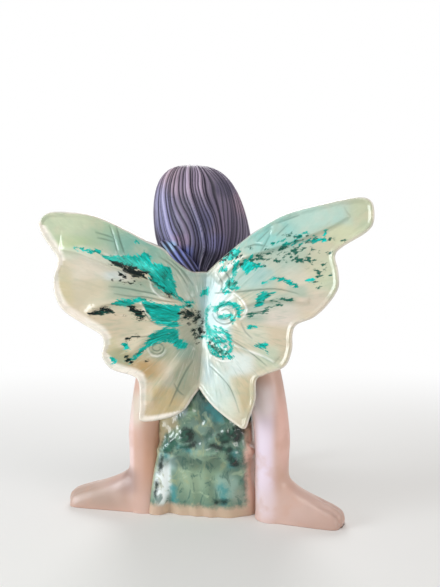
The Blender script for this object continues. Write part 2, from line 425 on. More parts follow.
# Paint on the back of the dress, in the same way
DRESS_DABS = (
    (0.0, 18.0, 60.0, 60.0, (94, 128, 110), 1.0), (0.0, 31.0, 12.0, 6.0, (64, 106, 90), 1.0),
    (-2.4, 24.0, 3.4, 3.0, (60, 106, 102), 0.9), (1.8, 22.8, 1.6, 1.6, (130, 162, 130), 0.9),
    (3.6, 23.2, 1.0, 1.2, (168, 196, 200), 0.8), (5.2, 19.4, 1.6, 1.8, (142, 152, 114), 0.8),
    (-1.0, 19.6, 2.6, 1.4, (112, 140, 126), 0.8), (0.0, 15.8, 2.4, 1.6, (108, 138, 128), 0.8),
    (0.6, 13.4, 1.3, 1.0, (160, 188, 172), 0.8), (-2.0, 10.4, 4.6, 3.6, (122, 149, 121), 1.0),
    (2.0, 7.4, 3.6, 3.2, (140, 164, 136), 1.0), (-1.6, 4.4, 4.0, 1.6, (116, 144, 118), 0.8),
    (-5.5, 6.5, 2.0, 3.4, (132, 164, 150), 0.9), (-8.4, 4.6, 1.6, 2.4, (140, 152, 136), 0.8),
    (7.4, 11.4, 2.2, 2.0, (164, 194, 188), 0.9), (8.3, 6.4, 1.5, 4.8, (246, 255, 255), 1.0),
    (10.6, 8.0, 0.6, 4.0, (178, 192, 170), 0.8), (-5.6, 6.6, 2.2, 2.6, (144, 178, 164), 0.8),
)
# Teal and dark strokes on the dress: width, then x and z along them
DRESS_TEAL = (
    (1.4, (6.1, 5.6), (6.0, 3.0)), (1.7, (-4.9, 6.2), (-5.2, 3.4)), (1.4, (-7.4, 13.8), (-7.0, 11.4)),
    (1.0, (7.0, 15.4), (7.6, 12.6)), (1.6, (-2.2, 23.6), (-4.2, 21.4)), (0.8, (4.2, 15.2), (1.6, 14.4)),
)
DRESS_DARK = (
    (2.6, (2.4, 17.9), (2.9, 17.2)), (2.2, (-7.8, 18.6), (-5.2, 17.2)), (1.6, (-9.6, 19.4), (-8.0, 17.4)),
    (1.7, (6.8, 14.4), (5.4, 16.0)), (1.1, (-3.2, 15.6), (-6.4, 14.8)), (1.5, (-6.6, 13.4), (-7.6, 11.8)),
    (0.8, (1.0, 15.6), (3.6, 15.2)), (0.6, (8.2, 12.4), (8.8, 9.4)), (0.7, (-9.8, 9.0), (-9.4, 6.0)),
    (0.5, (9.4, 7.0), (9.9, 4.4)), (1.0, (-5.6, 3.6), (-3.6, 3.4)),
)
# Left edge of the green paint, the x of its right edge, and the tops of the hem and of both bare sides
DRESS_EDGE = ((3.4, 27.0), (5.0, 22.6), (5.0, 19.4), (8.0, 17.0), (9.4, 13.0), (12.0, 2.0), (12.0, -2.0))
DRESS_RIGHT_EDGE_X = -9.7
HEM_TOP_Z = 2.1
BARE_LEFT_TOP_Z = 27.0
BARE_RIGHT_TOP_Z = 20.0
# Paint on the hem and sides, in the same way as the dabs above
BARE_DABS = (
    (0.0, 10.0, 60.0, 60.0, (198, 170, 148), 1.0), (7.0, 20.5, 4.0, 6.0, (146, 138, 104), 0.95),
    (-10.6, 9.0, 1.8, 9.0, (240, 200, 184), 1.0), (9.6, 12.0, 1.4, 3.0, (170, 182, 150), 0.8),
)


def srgb(red, green, blue):
    """A colour given as it looks, 0 to 255, as the linear values that a shader takes."""
    values = []
    for part in (red, green, blue):
        c = part / 255.0
        values.append(c / 12.92 if c <= 0.04045 else ((c + 0.055) / 1.055) ** 2.4)
    return (*values, 1.0)


# Numbers along arrays

def smoothstep(low, high, value):
    t = np.clip((value - low) / (high - low), 0.0, 1.0)
    return t * t * (3.0 - 2.0 * t)


def bump(distance, radius):
    return np.exp(-(distance / radius) ** 2)


def curve_value(rows, t, column):
    """Smooth value of one column of a table whose first column rises."""
    last = len(rows) - 1
    if t <= rows[0][0]:
        return rows[0][column]
    if t >= rows[last][0]:
        return rows[last][column]
    i = next(k for k in range(last) if rows[k + 1][0] >= t)
    before, low, high, after = rows[max(i - 1, 0)], rows[i], rows[i + 1], rows[min(i + 2, last)]
    span = high[0] - low[0]
    s = (t - low[0]) / span
    slope_low = (high[column] - before[column]) / (high[0] - before[0]) * span
    slope_high = (after[column] - low[column]) / (after[0] - low[0]) * span
    return ((2 * s ** 3 - 3 * s ** 2 + 1) * low[column] + (s ** 3 - 2 * s ** 2 + s) * slope_low
            + (3 * s ** 2 - 2 * s ** 3) * high[column] + (s ** 3 - s ** 2) * slope_high)


def smooth_path(points, step):
    """Points about one step apart along a smooth curve through the given ones."""
    points = [np.array(p, float) for p in points]
    result = []
    for i in range(len(points) - 1):
        p0, p1 = points[max(i - 1, 0)], points[i]
        p2, p3 = points[i + 1], points[min(i + 2, len(points) - 1)]
        count = max(1, round(float(np.linalg.norm(p2 - p1)) / step))
        for k in range(count):
            s = k / count
            result.append(0.5 * (2 * p1 + (p2 - p0) * s + (2 * p0 - 5 * p1 + 4 * p2 - p3) * s ** 2
                                 + (3 * p1 - p0 - 3 * p2 + p3) * s ** 3))
    result.append(points[-1])
    return np.array(result)


def line_distance(x, z, line):
    """Distance of each point from a polyline."""
    best = np.full(np.shape(x), 1e9)
    for (ax, az), (bx, bz) in zip(line, line[1:]):
        dx, dz = bx - ax, bz - az
        t = np.clip(((x - ax) * dx + (z - az) * dz) / (dx * dx + dz * dz + 1e-12), 0.0, 1.0)
        best = np.minimum(best, np.hypot(x - ax - t * dx, z - az - t * dz))
    return best


def inside(x, z, outline):
    result = np.zeros(np.shape(x), bool)
    for i in range(len(outline)):
        ax, az = outline[i - 1]
        bx, bz = outline[i]
        if az == bz:
            continue
        crosses = (az > z) != (bz > z)
        result ^= crosses & (x < (bx - ax) * (z - az) / (bz - az) + ax)
    return result


def wandering(u, v, cells, seed):
    """Smooth chance values from 0 to 1 over u, which repeats after 1, and v."""
    table = np.random.default_rng(seed).random((int(np.max(v)) + 2, cells))
    column = np.mod(u, 1.0) * cells
    i, j = np.floor(column).astype(int), np.floor(v).astype(int)
    s, t = smoothstep(0.0, 1.0, column - i), smoothstep(0.0, 1.0, v - j)
    low = table[j, i % cells] * (1.0 - s) + table[j, (i + 1) % cells] * s
    high = table[j + 1, i % cells] * (1.0 - s) + table[j + 1, (i + 1) % cells] * s
    return low * (1.0 - t) + high * t


def roughness_field(x, z, size, seed):
    """Smooth chance values from 0 to 1 over the height and width, in blotches of the given size."""
    return wandering((x + 100.0) / 200.0, (z + 10.0) / size, round(200.0 / size), seed)


def lean(points):
    """The head tilts a little: each point shifts sideways with its height."""
    points = np.array(points, float)
    points[..., 0] += HEAD_LEAN * (points[..., 2] - HEAD_Z)
    return points


def superellipse(angle, power):
    c, s = np.cos(angle), np.sin(angle)
    return np.copysign(np.abs(c) ** (2 / power), c), np.copysign(np.abs(s) ** (2 / power), s)


# Meshes

def mesh_object(name, points, faces):
    mesh = bpy.data.meshes.new(name)
    mesh.from_pydata((np.asarray(points) * MM).tolist(), [], faces)
    mesh.update()
    item = bpy.data.objects.new(name, mesh)
    bpy.context.scene.collection.objects.link(item)
    return item


def ring_surface(rings, start=0):
    """Points and faces of a closed shell over rings of points, a fan of triangles at each end."""
    rings = np.asarray(rings, float)
    rows, count = rings.shape[:2]
    points = np.concatenate([rings.reshape(-1, 3), rings[:1].mean(1), rings[-1:].mean(1)])
    faces = []
    for r in range(rows - 1):
        a, b = start + r * count, start + (r + 1) * count
        faces += [(a + i, a + (i + 1) % count, b + (i + 1) % count, b + i) for i in range(count)]
    low, high = start + rows * count, start + rows * count + 1
    last = start + (rows - 1) * count
    faces += [(start + (i + 1) % count, start + i, low) for i in range(count)]
    faces += [(last + i, last + (i + 1) % count, high) for i in range(count)]
    return points, faces


def joined_object(name, ring_sets):
    points, faces, start = [], [], 0
    for rings in ring_sets:
        more_points, more_faces = ring_surface(rings, start)
        points.append(more_points)
        faces += more_faces
        start += len(more_points)
    item = mesh_object(name, np.concatenate(points), faces)
    face_outwards(item)
    return item


def face_outwards(item):
    bm = bmesh.new()
    bm.from_mesh(item.data)
    bmesh.ops.recalc_face_normals(bm, faces=bm.faces)
    bm.to_mesh(item.data)
    bm.free()


def fuse(item, grid, rounds):
    """Overlapping shells become one skin, softened where they meet and flat on the ground."""
    remesh = item.modifiers.new("fuse", "REMESH")
    remesh.mode = "VOXEL"
    remesh.voxel_size = grid * MM
    soften = item.modifiers.new("soften", "SMOOTH")
    soften.factor = 0.5
    soften.iterations = rounds
    graph = bpy.context.evaluated_depsgraph_get()
    mesh = bpy.data.meshes.new_from_object(item.evaluated_get(graph))
    item.modifiers.clear()
    item.data = mesh
    points = vertex_points(item)
    points[:, 2] = np.maximum(points[:, 2], 0.0)
    set_points(item, points)
    return item


def relax(item, amount, rounds):
    """Each vertex moves towards the middle of its neighbours, by its own amount."""
    edges = np.zeros(len(item.data.edges) * 2, int)
    item.data.edges.foreach_get("vertices", edges)
    a, b = edges.reshape(-1, 2).T
    points = vertex_points(item)
    count = np.bincount(a, minlength=len(points)) + np.bincount(b, minlength=len(points))
    for _ in range(rounds):
        total = [np.bincount(a, points[b, k], len(points)) + np.bincount(b, points[a, k], len(points))
                 for k in range(3)]
        points = points + (np.stack(total, 1) / count[:, None] - points) * amount[:, None]
    points[:, 2] = np.maximum(points[:, 2], 0.0)
    set_points(item, points)


def soften_hands(item):
    """The wrists run smoothly into the hands, and the fingers keep their form."""
    x, _, z = vertex_points(item).T
    wrist = (1.0 - smoothstep(13.0, 17.0, z)) * (1.0 - smoothstep(22.0, 25.0, np.abs(x)))
    relax(item, 0.5 * wrist * smoothstep(9.0, 11.0, np.abs(x)) * smoothstep(0.3, 1.5, z), 45)


def vertex_points(item):
    values = np.zeros(len(item.data.vertices) * 3)
    item.data.vertices.foreach_get("co", values)
    return values.reshape(-1, 3) / MM


def set_points(item, points):
    item.data.vertices.foreach_set("co", (np.asarray(points) * MM).reshape(-1))
    item.data.update()


def store(item, name, values):
    """One number for each vertex, which the materials read."""
    attribute = item.data.attributes.new(name, "FLOAT", "POINT")
    attribute.data.foreach_set("value", np.asarray(values, np.float32))


def store_color(item, name, colors):
    attribute = item.data.attributes.new(name, "FLOAT_COLOR", "POINT")
    values = np.concatenate([colors, np.ones((len(colors), 1))], 1)
    attribute.data.foreach_set("color", values.astype(np.float32).reshape(-1))


def finish_piece(item, material):
    item.data.materials.clear()
    item.data.materials.append(material)
    item.data.shade_smooth()
    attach(item, "root")
    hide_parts("figurine")
    return item


def tube_rings(centres, radii, sides, cap_steps=6):
    """Round rings square to the path through the centres, with rounded ends."""
    centres = [Vector(c) for c in centres]
    last = len(centres) - 1
    rings = []
    angles = 2 * np.pi * (np.arange(sides) + 0.5) / sides
    for i, centre in enumerate(centres):
        along = (centres[min(i + 1, last)] - centres[max(i - 1, 0)]).normalized()
        side = along.cross(Vector((0.0, 1.0, 0.0)))
        side = side.normalized() if side.length > 0.1 else Vector((1.0, 0.0, 0.0))
        across = side.cross(along).normalized()
        turns = [0.0]
        if i == 0:
            turns = [-0.5 * math.pi * (cap_steps - k) / (cap_steps + 1) for k in range(cap_steps)] + [0.0]
        if i == last:
            turns = [0.0] + [0.5 * math.pi * (k + 1) / (cap_steps + 1) for k in range(cap_steps)]
        for turn in turns:
            middle = np.array(centre) + np.array(along) * math.sin(turn) * radii[i]
            spread = np.outer(np.cos(angles), side) + np.outer(np.sin(angles), across)
            rings.append(middle + spread * radii[i] * math.cos(turn))
    return rings


def even_tube(points, radii, sides, steps):
    """A tube along a smooth path through a few points, with radii blended between them."""
    rows = [(float(i), *p, r) for i, (p, r) in enumerate(zip(points, radii))]
    centres, sizes = [], []
    for k in range(steps + 1):
        t = (len(points) - 1) * k / steps
        centres.append([curve_value(rows, t, column) for column in (1, 2, 3)])
        sizes.append(curve_value(rows, t, 4))
    return tube_rings(centres, sizes, sides)


# Body and dress

def body_rows():
    return (
        (-CUT_DEPTH, SEAT_HALF_WIDTH, SEAT_FRONT_Y, SEAT_BACK_Y),
        (4.0, SEAT_HALF_WIDTH + 0.2, SEAT_FRONT_Y, SEAT_BACK_Y + 0.5),
        (0.6 * WAIST_Z, 0.5 * (SEAT_HALF_WIDTH + WAIST_HALF_WIDTH), CHEST_FRONT_Y - 1.0, WAIST_BACK_Y - 0.3),
        (WAIST_Z, WAIST_HALF_WIDTH, CHEST_FRONT_Y + 0.6, WAIST_BACK_Y),
        (CHEST_Z, CHEST_HALF_WIDTH, CHEST_FRONT_Y, CHEST_BACK_Y),
        (SHOULDER_Z, SHOULDER_HALF_WIDTH, CHEST_FRONT_Y + 2.4, CHEST_BACK_Y - 0.8),
        (SHOULDER_Z + 3.0, 0.75 * SHOULDER_HALF_WIDTH, CHEST_FRONT_Y + 4.0, CHEST_BACK_Y - 1.6),
        (SHOULDER_Z + 5.6, NECK_RADIUS + 0.4, SHOULDER_Y - NECK_RADIUS - 1.2, SHOULDER_Y + NECK_RADIUS - 0.6),
    )


def dress_relief(x, y, z):
    """Height of the folds, the garland, its roses and its leaves over the plain dress."""
    around = np.arctan2(y, x)
    fold = 0.5 + 0.5 * np.cos(FOLD_COUNT * around + 0.25 * z)
    height = FOLD_DEPTH * (fold - 1.0) * (1.0 - smoothstep(0.5 * FOLD_TOP_Z, FOLD_TOP_Z, z))
    swag_line = SWAG_Z + 1.0 * np.cos(5.0 * around + 0.6)
    height = height + SWAG_HEIGHT * bump(z - swag_line, SWAG_WIDTH)
    back = smoothstep(1.0, 4.0, y)
    for px, pz, radius, rise in ROSETTES:
        away, turn = np.hypot(x - px, z - pz), np.arctan2(z - pz, x - px)
        petals = 0.5 + 0.5 * np.cos(2.0 * turn - 7.0 * away / radius)
        height = height + back * rise * bump(away, radius) * (0.62 + 0.48 * petals)
    for px, pz, angle, long, wide, rise in LEAVES:
        c, s = math.cos(math.radians(angle)), math.sin(math.radians(angle))
        u, v = (x - px) * c + (z - pz) * s, (z - pz) * c - (x - px) * s
        leaf = bump(u, long) * bump(v, wide * (1.0 - 0.3 * np.tanh(u / long)))
        height = height + back * rise * leaf * (1.0 - 0.3 * bump(v, 0.16))
    lumps = sum(rise * (roughness_field(x, z, size, seed) - 0.5) for rise, size, seed in DRESS_LUMPS)
    return height + lumps * (0.08 + 0.92 * smoothstep(10.0, 14.0, z)) * back


def body_rings(low, high, step, sides, relief, inset):
    rings = []
    rows = body_rows()
    angles = 2 * np.pi * np.arange(sides) / sides
    for z in np.linspace(low, high, max(2, round((high - low) / step))):
        half, front, back = (curve_value(rows, z, column) for column in (1, 2, 3))
        middle, depth = 0.5 * (front + back), 0.5 * (back - front)
        c, s = superellipse(angles, BODY_SQUARENESS)
        x, y = (half - inset) * c, (depth - inset) * s
        grow = 1.0
        if relief:
            grow = 1.0 + dress_relief(x, middle + y, z) / np.hypot(x, y)
        rings.append(np.stack([SEAT_CENTRE_X + x * grow, middle + y * grow, np.full(sides, z)], 1))
    return rings


def skirt_rings():
    """The skirt over the lap, from inside the body forward to its rounded hem."""
    rings = []
    straight = 56
    rounded = 4
    inner_y = 2.0
    angles = 2 * np.pi * np.arange(160) / 160
    for k in range(straight + rounded + 1):
        t = min(1.0, k / straight)
        round_end = max(0.0, (k - straight) / rounded)
        y = inner_y + (SKIRT_FRONT_Y - inner_y) * t + 1.2 * round_end
        top = SKIRT_TOP_Z + (SKIRT_HEM_TOP_Z - SKIRT_TOP_Z) * t - 1.6 * round_end
        c, s = superellipse(angles, SKIRT_SQUARENESS)
        x = (SKIRT_HALF_WIDTH - 0.5 * t) * c
        valley = THIGH_VALLEY * t * bump(x, 2.6) * (s > 0)
        fold = FOLD_DEPTH * np.cos(2.2 * x) * t * (s > 0)
        z = (top - valley + fold) * np.maximum(s, 0.0) + (CUT_DEPTH + 2.0) * np.minimum(s, 0.0)
        rings.append(np.stack([SEAT_CENTRE_X + x, np.full(160, y), z], 1))
    return rings


# Arms, hands, legs and feet

def arm_rings(arm_x):
    radii = [ARM_RADIUS, ARM_RADIUS, ARM_RADIUS, WRIST_RADIUS, WRIST_RADIUS + 0.1]
    rows = [(-z, x, r) for z, x, r in zip(ARM_Z, arm_x, radii)]
    centres, sizes = [], []
    for k in range(41):
        t = -ARM_Z[0] + (ARM_Z[0] - ARM_Z[-1]) * k / 40
        centres.append((curve_value(rows, t, 1), ARM_Y, -t))
        sizes.append(curve_value(rows, t, 2))
    return tube_rings(centres, sizes, 48)


def hand_to_body(side, wrist_x, turn):
    c, s = math.cos(math.radians(turn)), math.sin(math.radians(turn))
    return lambda u, v, w: (wrist_x + side * (u * c - v * s), ARM_Y + u * s + v * c, w)


def finger_reach(v):
    """How far the fingers reach at each place across the hand, the middle one furthest."""
    across = np.clip((v + 0.5) / HAND_HALF_BREADTH, -1.0, 1.0)
    return MIDDLE_FINGER_REACH - 0.055 * (across + 0.15) ** 2 - 0.03 * finger_gaps(across)


def finger_gaps(across):
    """1 in the grooves between the fingers, and nought beside them."""
    return sum(bump(across - gap, FINGER_GAP_WIDTH) for gap in FINGER_GAPS)


def hand_rings(place, length):
    """The back of the hand and its four joined fingers, as one form flat on the ground."""
    rings = []
    for t in np.concatenate([np.linspace(HAND_ROWS[0][0], 0.9, 44), np.linspace(0.91, 1.0, 12)]):
        top, breadth, power = (curve_value(HAND_ROWS, t, column) for column in (1, 2, 3))
        c, s = superellipse(2 * np.pi * np.arange(64) / 64, power)
        v = HAND_HALF_BREADTH * breadth * c - 0.5
        grooves = FINGER_GAP_DEPTH * smoothstep(0.42, 0.75, t) * finger_gaps((v + 0.5) / HAND_HALF_BREADTH)
        z = np.where(s > 0.0, (top - grooves) * s, CUT_DEPTH * s)
        u = t * length * (1.0 + (finger_reach(v) - MIDDLE_FINGER_REACH) * smoothstep(0.55, 1.0, t))
        rings.append([place(a, b, c) for a, b, c in zip(u, v, z)])
    return rings


def thumb_rings(place):
    path = [place(2.0, -2.0, 2.8), place(5.0, -4.1, 2.0), place(THUMB_LENGTH, -5.1, 1.4)]
    return even_tube(path, [FINGER_RADIUS * 1.3, FINGER_RADIUS * 1.15, FINGER_RADIUS], 28, 12)


def leg_rings(side):
    """A straight leg, from rows with its reach forward, its middle's height and its radius."""
    x = side * LEG_X + SEAT_CENTRE_X
    rows = (
        (0.0, 5.0, KNEE_RADIUS), (14.0, 5.4, KNEE_RADIUS + 0.5), (-KNEE_Y, 4.6, KNEE_RADIUS),
        (26.0, 3.7, KNEE_RADIUS - 0.4), (-ANKLE_Y, 2.6, ANKLE_RADIUS), (-HEEL_Y, 2.4, ANKLE_RADIUS),
    )
    path, sizes = [], []
    for t in np.linspace(rows[0][0], rows[-1][0], 40):
        path.append((x, -t, curve_value(rows, t, 1)))
        sizes.append(curve_value(rows, t, 2))
    return tube_rings(path, sizes, 48)


def foot_rings(side):
    """One ring set for the upright foot and one for each toe, the big toe first."""
    rings = []
    angles = 2 * np.pi * np.arange(40) / 40
    for t in np.linspace(FOOT_ROWS[0][0], FOOT_ROWS[-1][0], 36):
        width, tip = curve_value(FOOT_ROWS, t, 1), curve_value(FOOT_ROWS, t, 2)
        x = side * (LEG_X + 1.6 * t) + SEAT_CENTRE_X + FOOT_HALF_WIDTH * width * np.cos(angles)
        y = HEEL_Y - tip - 0.3 + 0.5 * FOOT_THICKNESS * (1.25 - 0.5 * t) * np.sin(angles)
        rings.append(np.stack([x, y, np.full(40, FOOT_HEIGHT * t)], 1))
    sets = [rings]
    for number, size in enumerate(TOE_SIZES):
        x = side * (LEG_X + 1.4 + (number - 1.55) * 1.25) + SEAT_CENTRE_X
        radius = TOE_RADIUS * size
        z = FOOT_HEIGHT * 0.9 - 0.35 * number
        toe = [(x, HEEL_Y - 0.6, z - 1.0), (x, HEEL_Y - 0.9, z + 0.5)]
        sets.append(tube_rings(toe, [radius, radius], 24))
    return sets


# Head, face and hair

def face_relief(x, z):
    height = NOSE_LENGTH * bump(x, 1.15) * bump(z - (EYE_Z - 2.2), 1.3)
    height = height + 0.45 * NOSE_LENGTH * bump(x, 0.9) * bump(z - (EYE_Z - 0.4), 1.4)
    height = height + 0.45 * bump(x, 1.9) * bump(z - MOUTH_Z, 0.8)
    height = height - 0.35 * bump(x, 1.6) * bump(z - MOUTH_Z - 0.05, 0.22)
    height = height + 0.5 * bump(x, 2.2) * bump(z - (MOUTH_Z - 2.9), 1.3)
    for side in (-1, 1):
        height = height - 0.55 * bump(x - side * EYE_SPACING, 1.7) * bump(z - EYE_Z - 0.4, 1.3)
        height = height + 0.42 * bump(x - side * EYE_SPACING, 1.25) * bump(z - EYE_Z - 0.1, 0.75)
        height = height + 0.3 * bump(x - side * (EYE_SPACING + 0.6), 2.0) * bump(z - (MOUTH_Z + 1.6), 1.6)
    return height


def head_rings():
    rings = []
    t = 2.0 * (np.arange(200) + 0.5) / 200 - 1.0
    a = np.pi * t * (0.5 + 0.5 * np.abs(t))
    for p in np.linspace(0.03 * np.pi, 0.97 * np.pi, 130):
        z = HEAD_HALF_HEIGHT * math.cos(p)
        low = max(0.0, -math.cos(p))
        x = HEAD_HALF_WIDTH * (1.0 - 0.22 * low ** 2) * math.sin(p) * np.sin(a)
        y = -HEAD_HALF_DEPTH * math.sin(p) ** 0.9 * np.cos(a)
        y = y - np.where(np.cos(a) > 0.0, face_relief(x, HEAD_Z + z) * smoothstep(0.1, 0.6, np.cos(a)), 0.0)
        rings.append(lean(np.stack([HEAD_X + x, HEAD_Y + y, np.full(200, HEAD_Z + z)], 1)))
    return rings


def hair_surface(around, down, lift):
    """Points of the hair at angles around the head, from the back, and angles down from the crown."""
    half_width = HEAD_HALF_WIDTH + HAIR_THICKNESS
    depth = HEAD_HALF_DEPTH + HAIR_THICKNESS + HAIR_BACK * np.maximum(0.0, np.cos(around))
    s = np.maximum(np.sin(down), 0.0) ** HAIR_FULLNESS
    x = half_width * s * np.sin(around)
    y = depth * s * np.cos(around)
    height = HEAD_HALF_HEIGHT + HAIR_THICKNESS + np.where(down > 0.5 * np.pi, -HAIR_DROP, HAIR_DROP)
    z = height * np.cos(down) - HAIR_DROP
    top = HAIRLINE_Z - HEAD_Z
    arch = np.hypot(x / HAIRLINE_HALF_WIDTH, np.maximum(z + 4.0, 0.0) / (top + 4.0))
    face = np.where(y < 0.0, smoothstep(1.05, 0.97, arch), 0.0)
    size = 1.0 - 0.24 * face + (1.0 - face) * lift / HEAD_HALF_HEIGHT
    return lean(np.stack([HEAD_X + x * size, HEAD_Y + y * size, HEAD_Z + z * size], -1))


def even_rows(count):
    """Angles down from the crown that lie evenly along the outline of the hair."""
    down = np.linspace(0.0, 0.927 * np.pi, 2000)
    half_width, height = HEAD_HALF_WIDTH + HAIR_THICKNESS, HEAD_HALF_HEIGHT + HAIR_THICKNESS
    x, z = half_width * np.sin(down) ** HAIR_FULLNESS, height * np.cos(down)
    along = np.concatenate([[0.0], np.cumsum(np.hypot(np.diff(x), np.diff(z)))])
    return np.interp(np.linspace(0.25, along[-1], count), along, down)


def strand_crest(track, count, seed):
    """Strands of uneven width: 1 on each crest to 0 between two, and each strand's number."""
    widths = 0.4 + 1.2 * np.random.default_rng(seed).random(count)
    edges = np.concatenate([[0.0], np.cumsum(widths / widths.sum())])
    index = np.clip(np.searchsorted(edges, track, side="right") - 1, 0, count - 1)
    share = (track - edges[index]) / (edges[index + 1] - edges[index])
    return np.sqrt(np.clip(1.0 - (2.0 * share - 1.0) ** 2, 0.0, 1.0)), index


def strand_pattern(around, down):
    """Height of the wavy strands, how near a crest each point lies, its shade and its place across."""
    u, v = around / (2 * np.pi), 3.2 * down / np.pi
    side = np.mod(u + 0.5, 1.0) - 0.5
    track = side * (1.0 + 0.8 * smoothstep(1.4, 3.0, v) * bump(side, 0.22))
    for cells, pace, reach, seed in HAIR_WAVES:
        track = track + reach * (wandering(u, 1.0 + pace * v, cells, seed) - 0.5)
    crossing = track + 0.012 * (wandering(u, 2.0 * v, 23, 8) - 0.5)
    clump, clump_index = strand_crest(np.mod(track, 1.0), HAIR_CLUMPS, 5)
    strand, strand_index = strand_crest(np.mod(crossing, 1.0), HAIR_STRANDS, 7)
    fine, _ = strand_crest(np.mod(crossing + 0.2 * track, 1.0), 3 * HAIR_STRANDS, 9)
    shade = np.random.default_rng(11).random(HAIR_STRANDS)[strand_index]
    clump_shade = np.random.default_rng(12).random(HAIR_CLUMPS)[clump_index]
    height = (0.30 * (clump - 0.8) + 0.36 * (clump_shade - 0.5) * clump
              + HAIR_GROOVE * (strand - 0.75) + 0.24 * (shade - 0.5) * strand + 0.09 * (fine - 0.8))
    crest = strand * (0.70 + 0.30 * fine) * (0.35 + 0.65 * clump ** 0.7)
    return height, crest, 0.6 * shade + 0.4 * clump_shade, crossing


def make_hair():
    columns, rows = 640, 150
    around = np.linspace(0.0, 2 * np.pi, columns, endpoint=False)
    a, d = np.meshgrid(around, even_rows(rows))
    height, crest, shade, track = strand_pattern(a, d)
    points = hair_surface(a, d, height * smoothstep(0.05, 0.9, d)).reshape(-1, 3)
    crown = lean([[HEAD_X, HEAD_Y, HEAD_Z + HEAD_HALF_HEIGHT + HAIR_THICKNESS]])
    under = points[-columns:].mean(0, keepdims=True)
    faces = []
    for r in range(rows - 1):
        p, q = r * columns, (r + 1) * columns
        faces += [(p + i, q + i, q + (i + 1) % columns, p + (i + 1) % columns) for i in range(columns)]
    top, last = rows * columns, (rows - 1) * columns
    faces += [(i, (i + 1) % columns, top) for i in range(columns)]
    faces += [(last + (i + 1) % columns, last + i, top + 1) for i in range(columns)]
    item = mesh_object("hair", np.concatenate([points, crown, under]), faces)
    for name, values, ends in (("groove", crest, (1.0, 0.0)), ("tone", shade, (0.5, 0.5)),
                               ("across", track, (0.0, 0.0)), ("down", d, (0.0, 3.0))):
        store(item, name, np.concatenate([values.reshape(-1), ends]))
    paint_hair(item)
    return item


def make_lock():
    path = smooth_path(LOCK_PATH, 0.1)
    rings, grooves = [], []
    angles = 2 * np.pi * np.arange(64) / 64
    last = len(path) - 1
    for i, centre in enumerate(path):
        along = Vector(path[min(i + 1, last)] - path[max(i - 1, 0)]).normalized()
        side = along.cross(Vector((0.0, 1.0, 0.0))).normalized()
        across = side.cross(along)
        size = LOCK_RADIUS * (0.50 + 0.50 * math.sin(math.pi * (i + 8) / (last + 12)))
        ridge = np.abs(np.cos(3.0 * (angles + 3.0 * i / last)))
        radius = size * (0.66 + 0.40 * ridge ** 0.7)
        spread = np.outer(np.cos(angles) * radius, side) + np.outer(np.sin(angles) * radius, across)
        rings.append(centre + spread)
        grooves.append(ridge ** 1.5)
    item = joined_object("hair_lock", [rings])
    ends = [0.5, 0.5]
    store(item, "groove", np.concatenate([np.concatenate(grooves), ends]))
    store(item, "tone", np.full(len(item.data.vertices), 0.6))
    store(item, "across", np.concatenate([np.tile(angles / 6.3, len(path)), ends]))
    store(item, "down", np.full(len(item.data.vertices), 2.6))
    paint_hair(item)
    return item


# Wings

def spine_x(z):
    slope = (SPINE_TOP[0] - SPINE_BOTTOM[0]) / (SPINE_TOP[1] - SPINE_BOTTOM[1])
    return SPINE_BOTTOM[0] + slope * (z - SPINE_BOTTOM[1])


def wing_depth(x, z):
    d = np.abs(x - spine_x(z))
    return WING_ROOT_Y + WING_FOLD * (1.0 - np.exp(-d / WING_FOLD_REACH)) + WING_SPREAD * d


def spiral(x, z, wide, high, start):
    """A curl of two turns that opens out to an oval."""
    turn = np.linspace(0.0, 2.0, 60)
    angle = 2 * np.pi * turn + math.radians(start)
    size = 0.25 + 0.75 * turn / 2.0
    return np.stack([x + wide * size * np.cos(angle), z + high * size * np.sin(angle)], 1)


def ridge_share(x, z, above, below, line):
    """1 on a ridge's crest, falling away by different widths above and below it, and towards its ends."""
    share = np.zeros(np.shape(x))
    low, high = line.min(0) - 2.5 * max(above, below), line.max(0) + 2.5 * max(above, below)
    near = (x > low[0]) & (x < high[0]) & (z > low[1]) & (z < high[1])
    x, z = x[near], z[near]
    best, width, along = np.full(len(x), 1e9), np.full(len(x), above), np.zeros(len(x))
    outwards = 1.0 if line[-1][0] > line[0][0] else -1.0
    for i, ((ax, az), (bx, bz)) in enumerate(zip(line, line[1:])):
        dx, dz = bx - ax, bz - az
        t = np.clip(((x - ax) * dx + (z - az) * dz) / (dx * dx + dz * dz + 1e-12), 0.0, 1.0)
        away = np.hypot(x - ax - t * dx, z - az - t * dz)
        upper = outwards * (dx * (z - az) - dz * (x - ax)) > 0.0
        width = np.where(away < best, np.where(upper, above, below), width)
        along = np.where(away < best, (i + t) / (len(line) - 1), along)
        best = np.minimum(best, away)
    share[near] = bump(best, width) * np.sin(np.pi * along) ** 0.4
    return share


def from_root(x, z):
    """Angle around the middle of the spine, and distance from it."""
    return np.arctan2(z - ROOT_Z, x - spine_x(z)), np.hypot(x - spine_x(z), z - ROOT_Z)


def fine_line(x, z, line, drop, share):
    """A thin raised line with a groove a little below it."""
    return ridge_share(x, z, 0.24, 0.24, line) - share * ridge_share(x, z + drop, 0.18, 0.18, line)


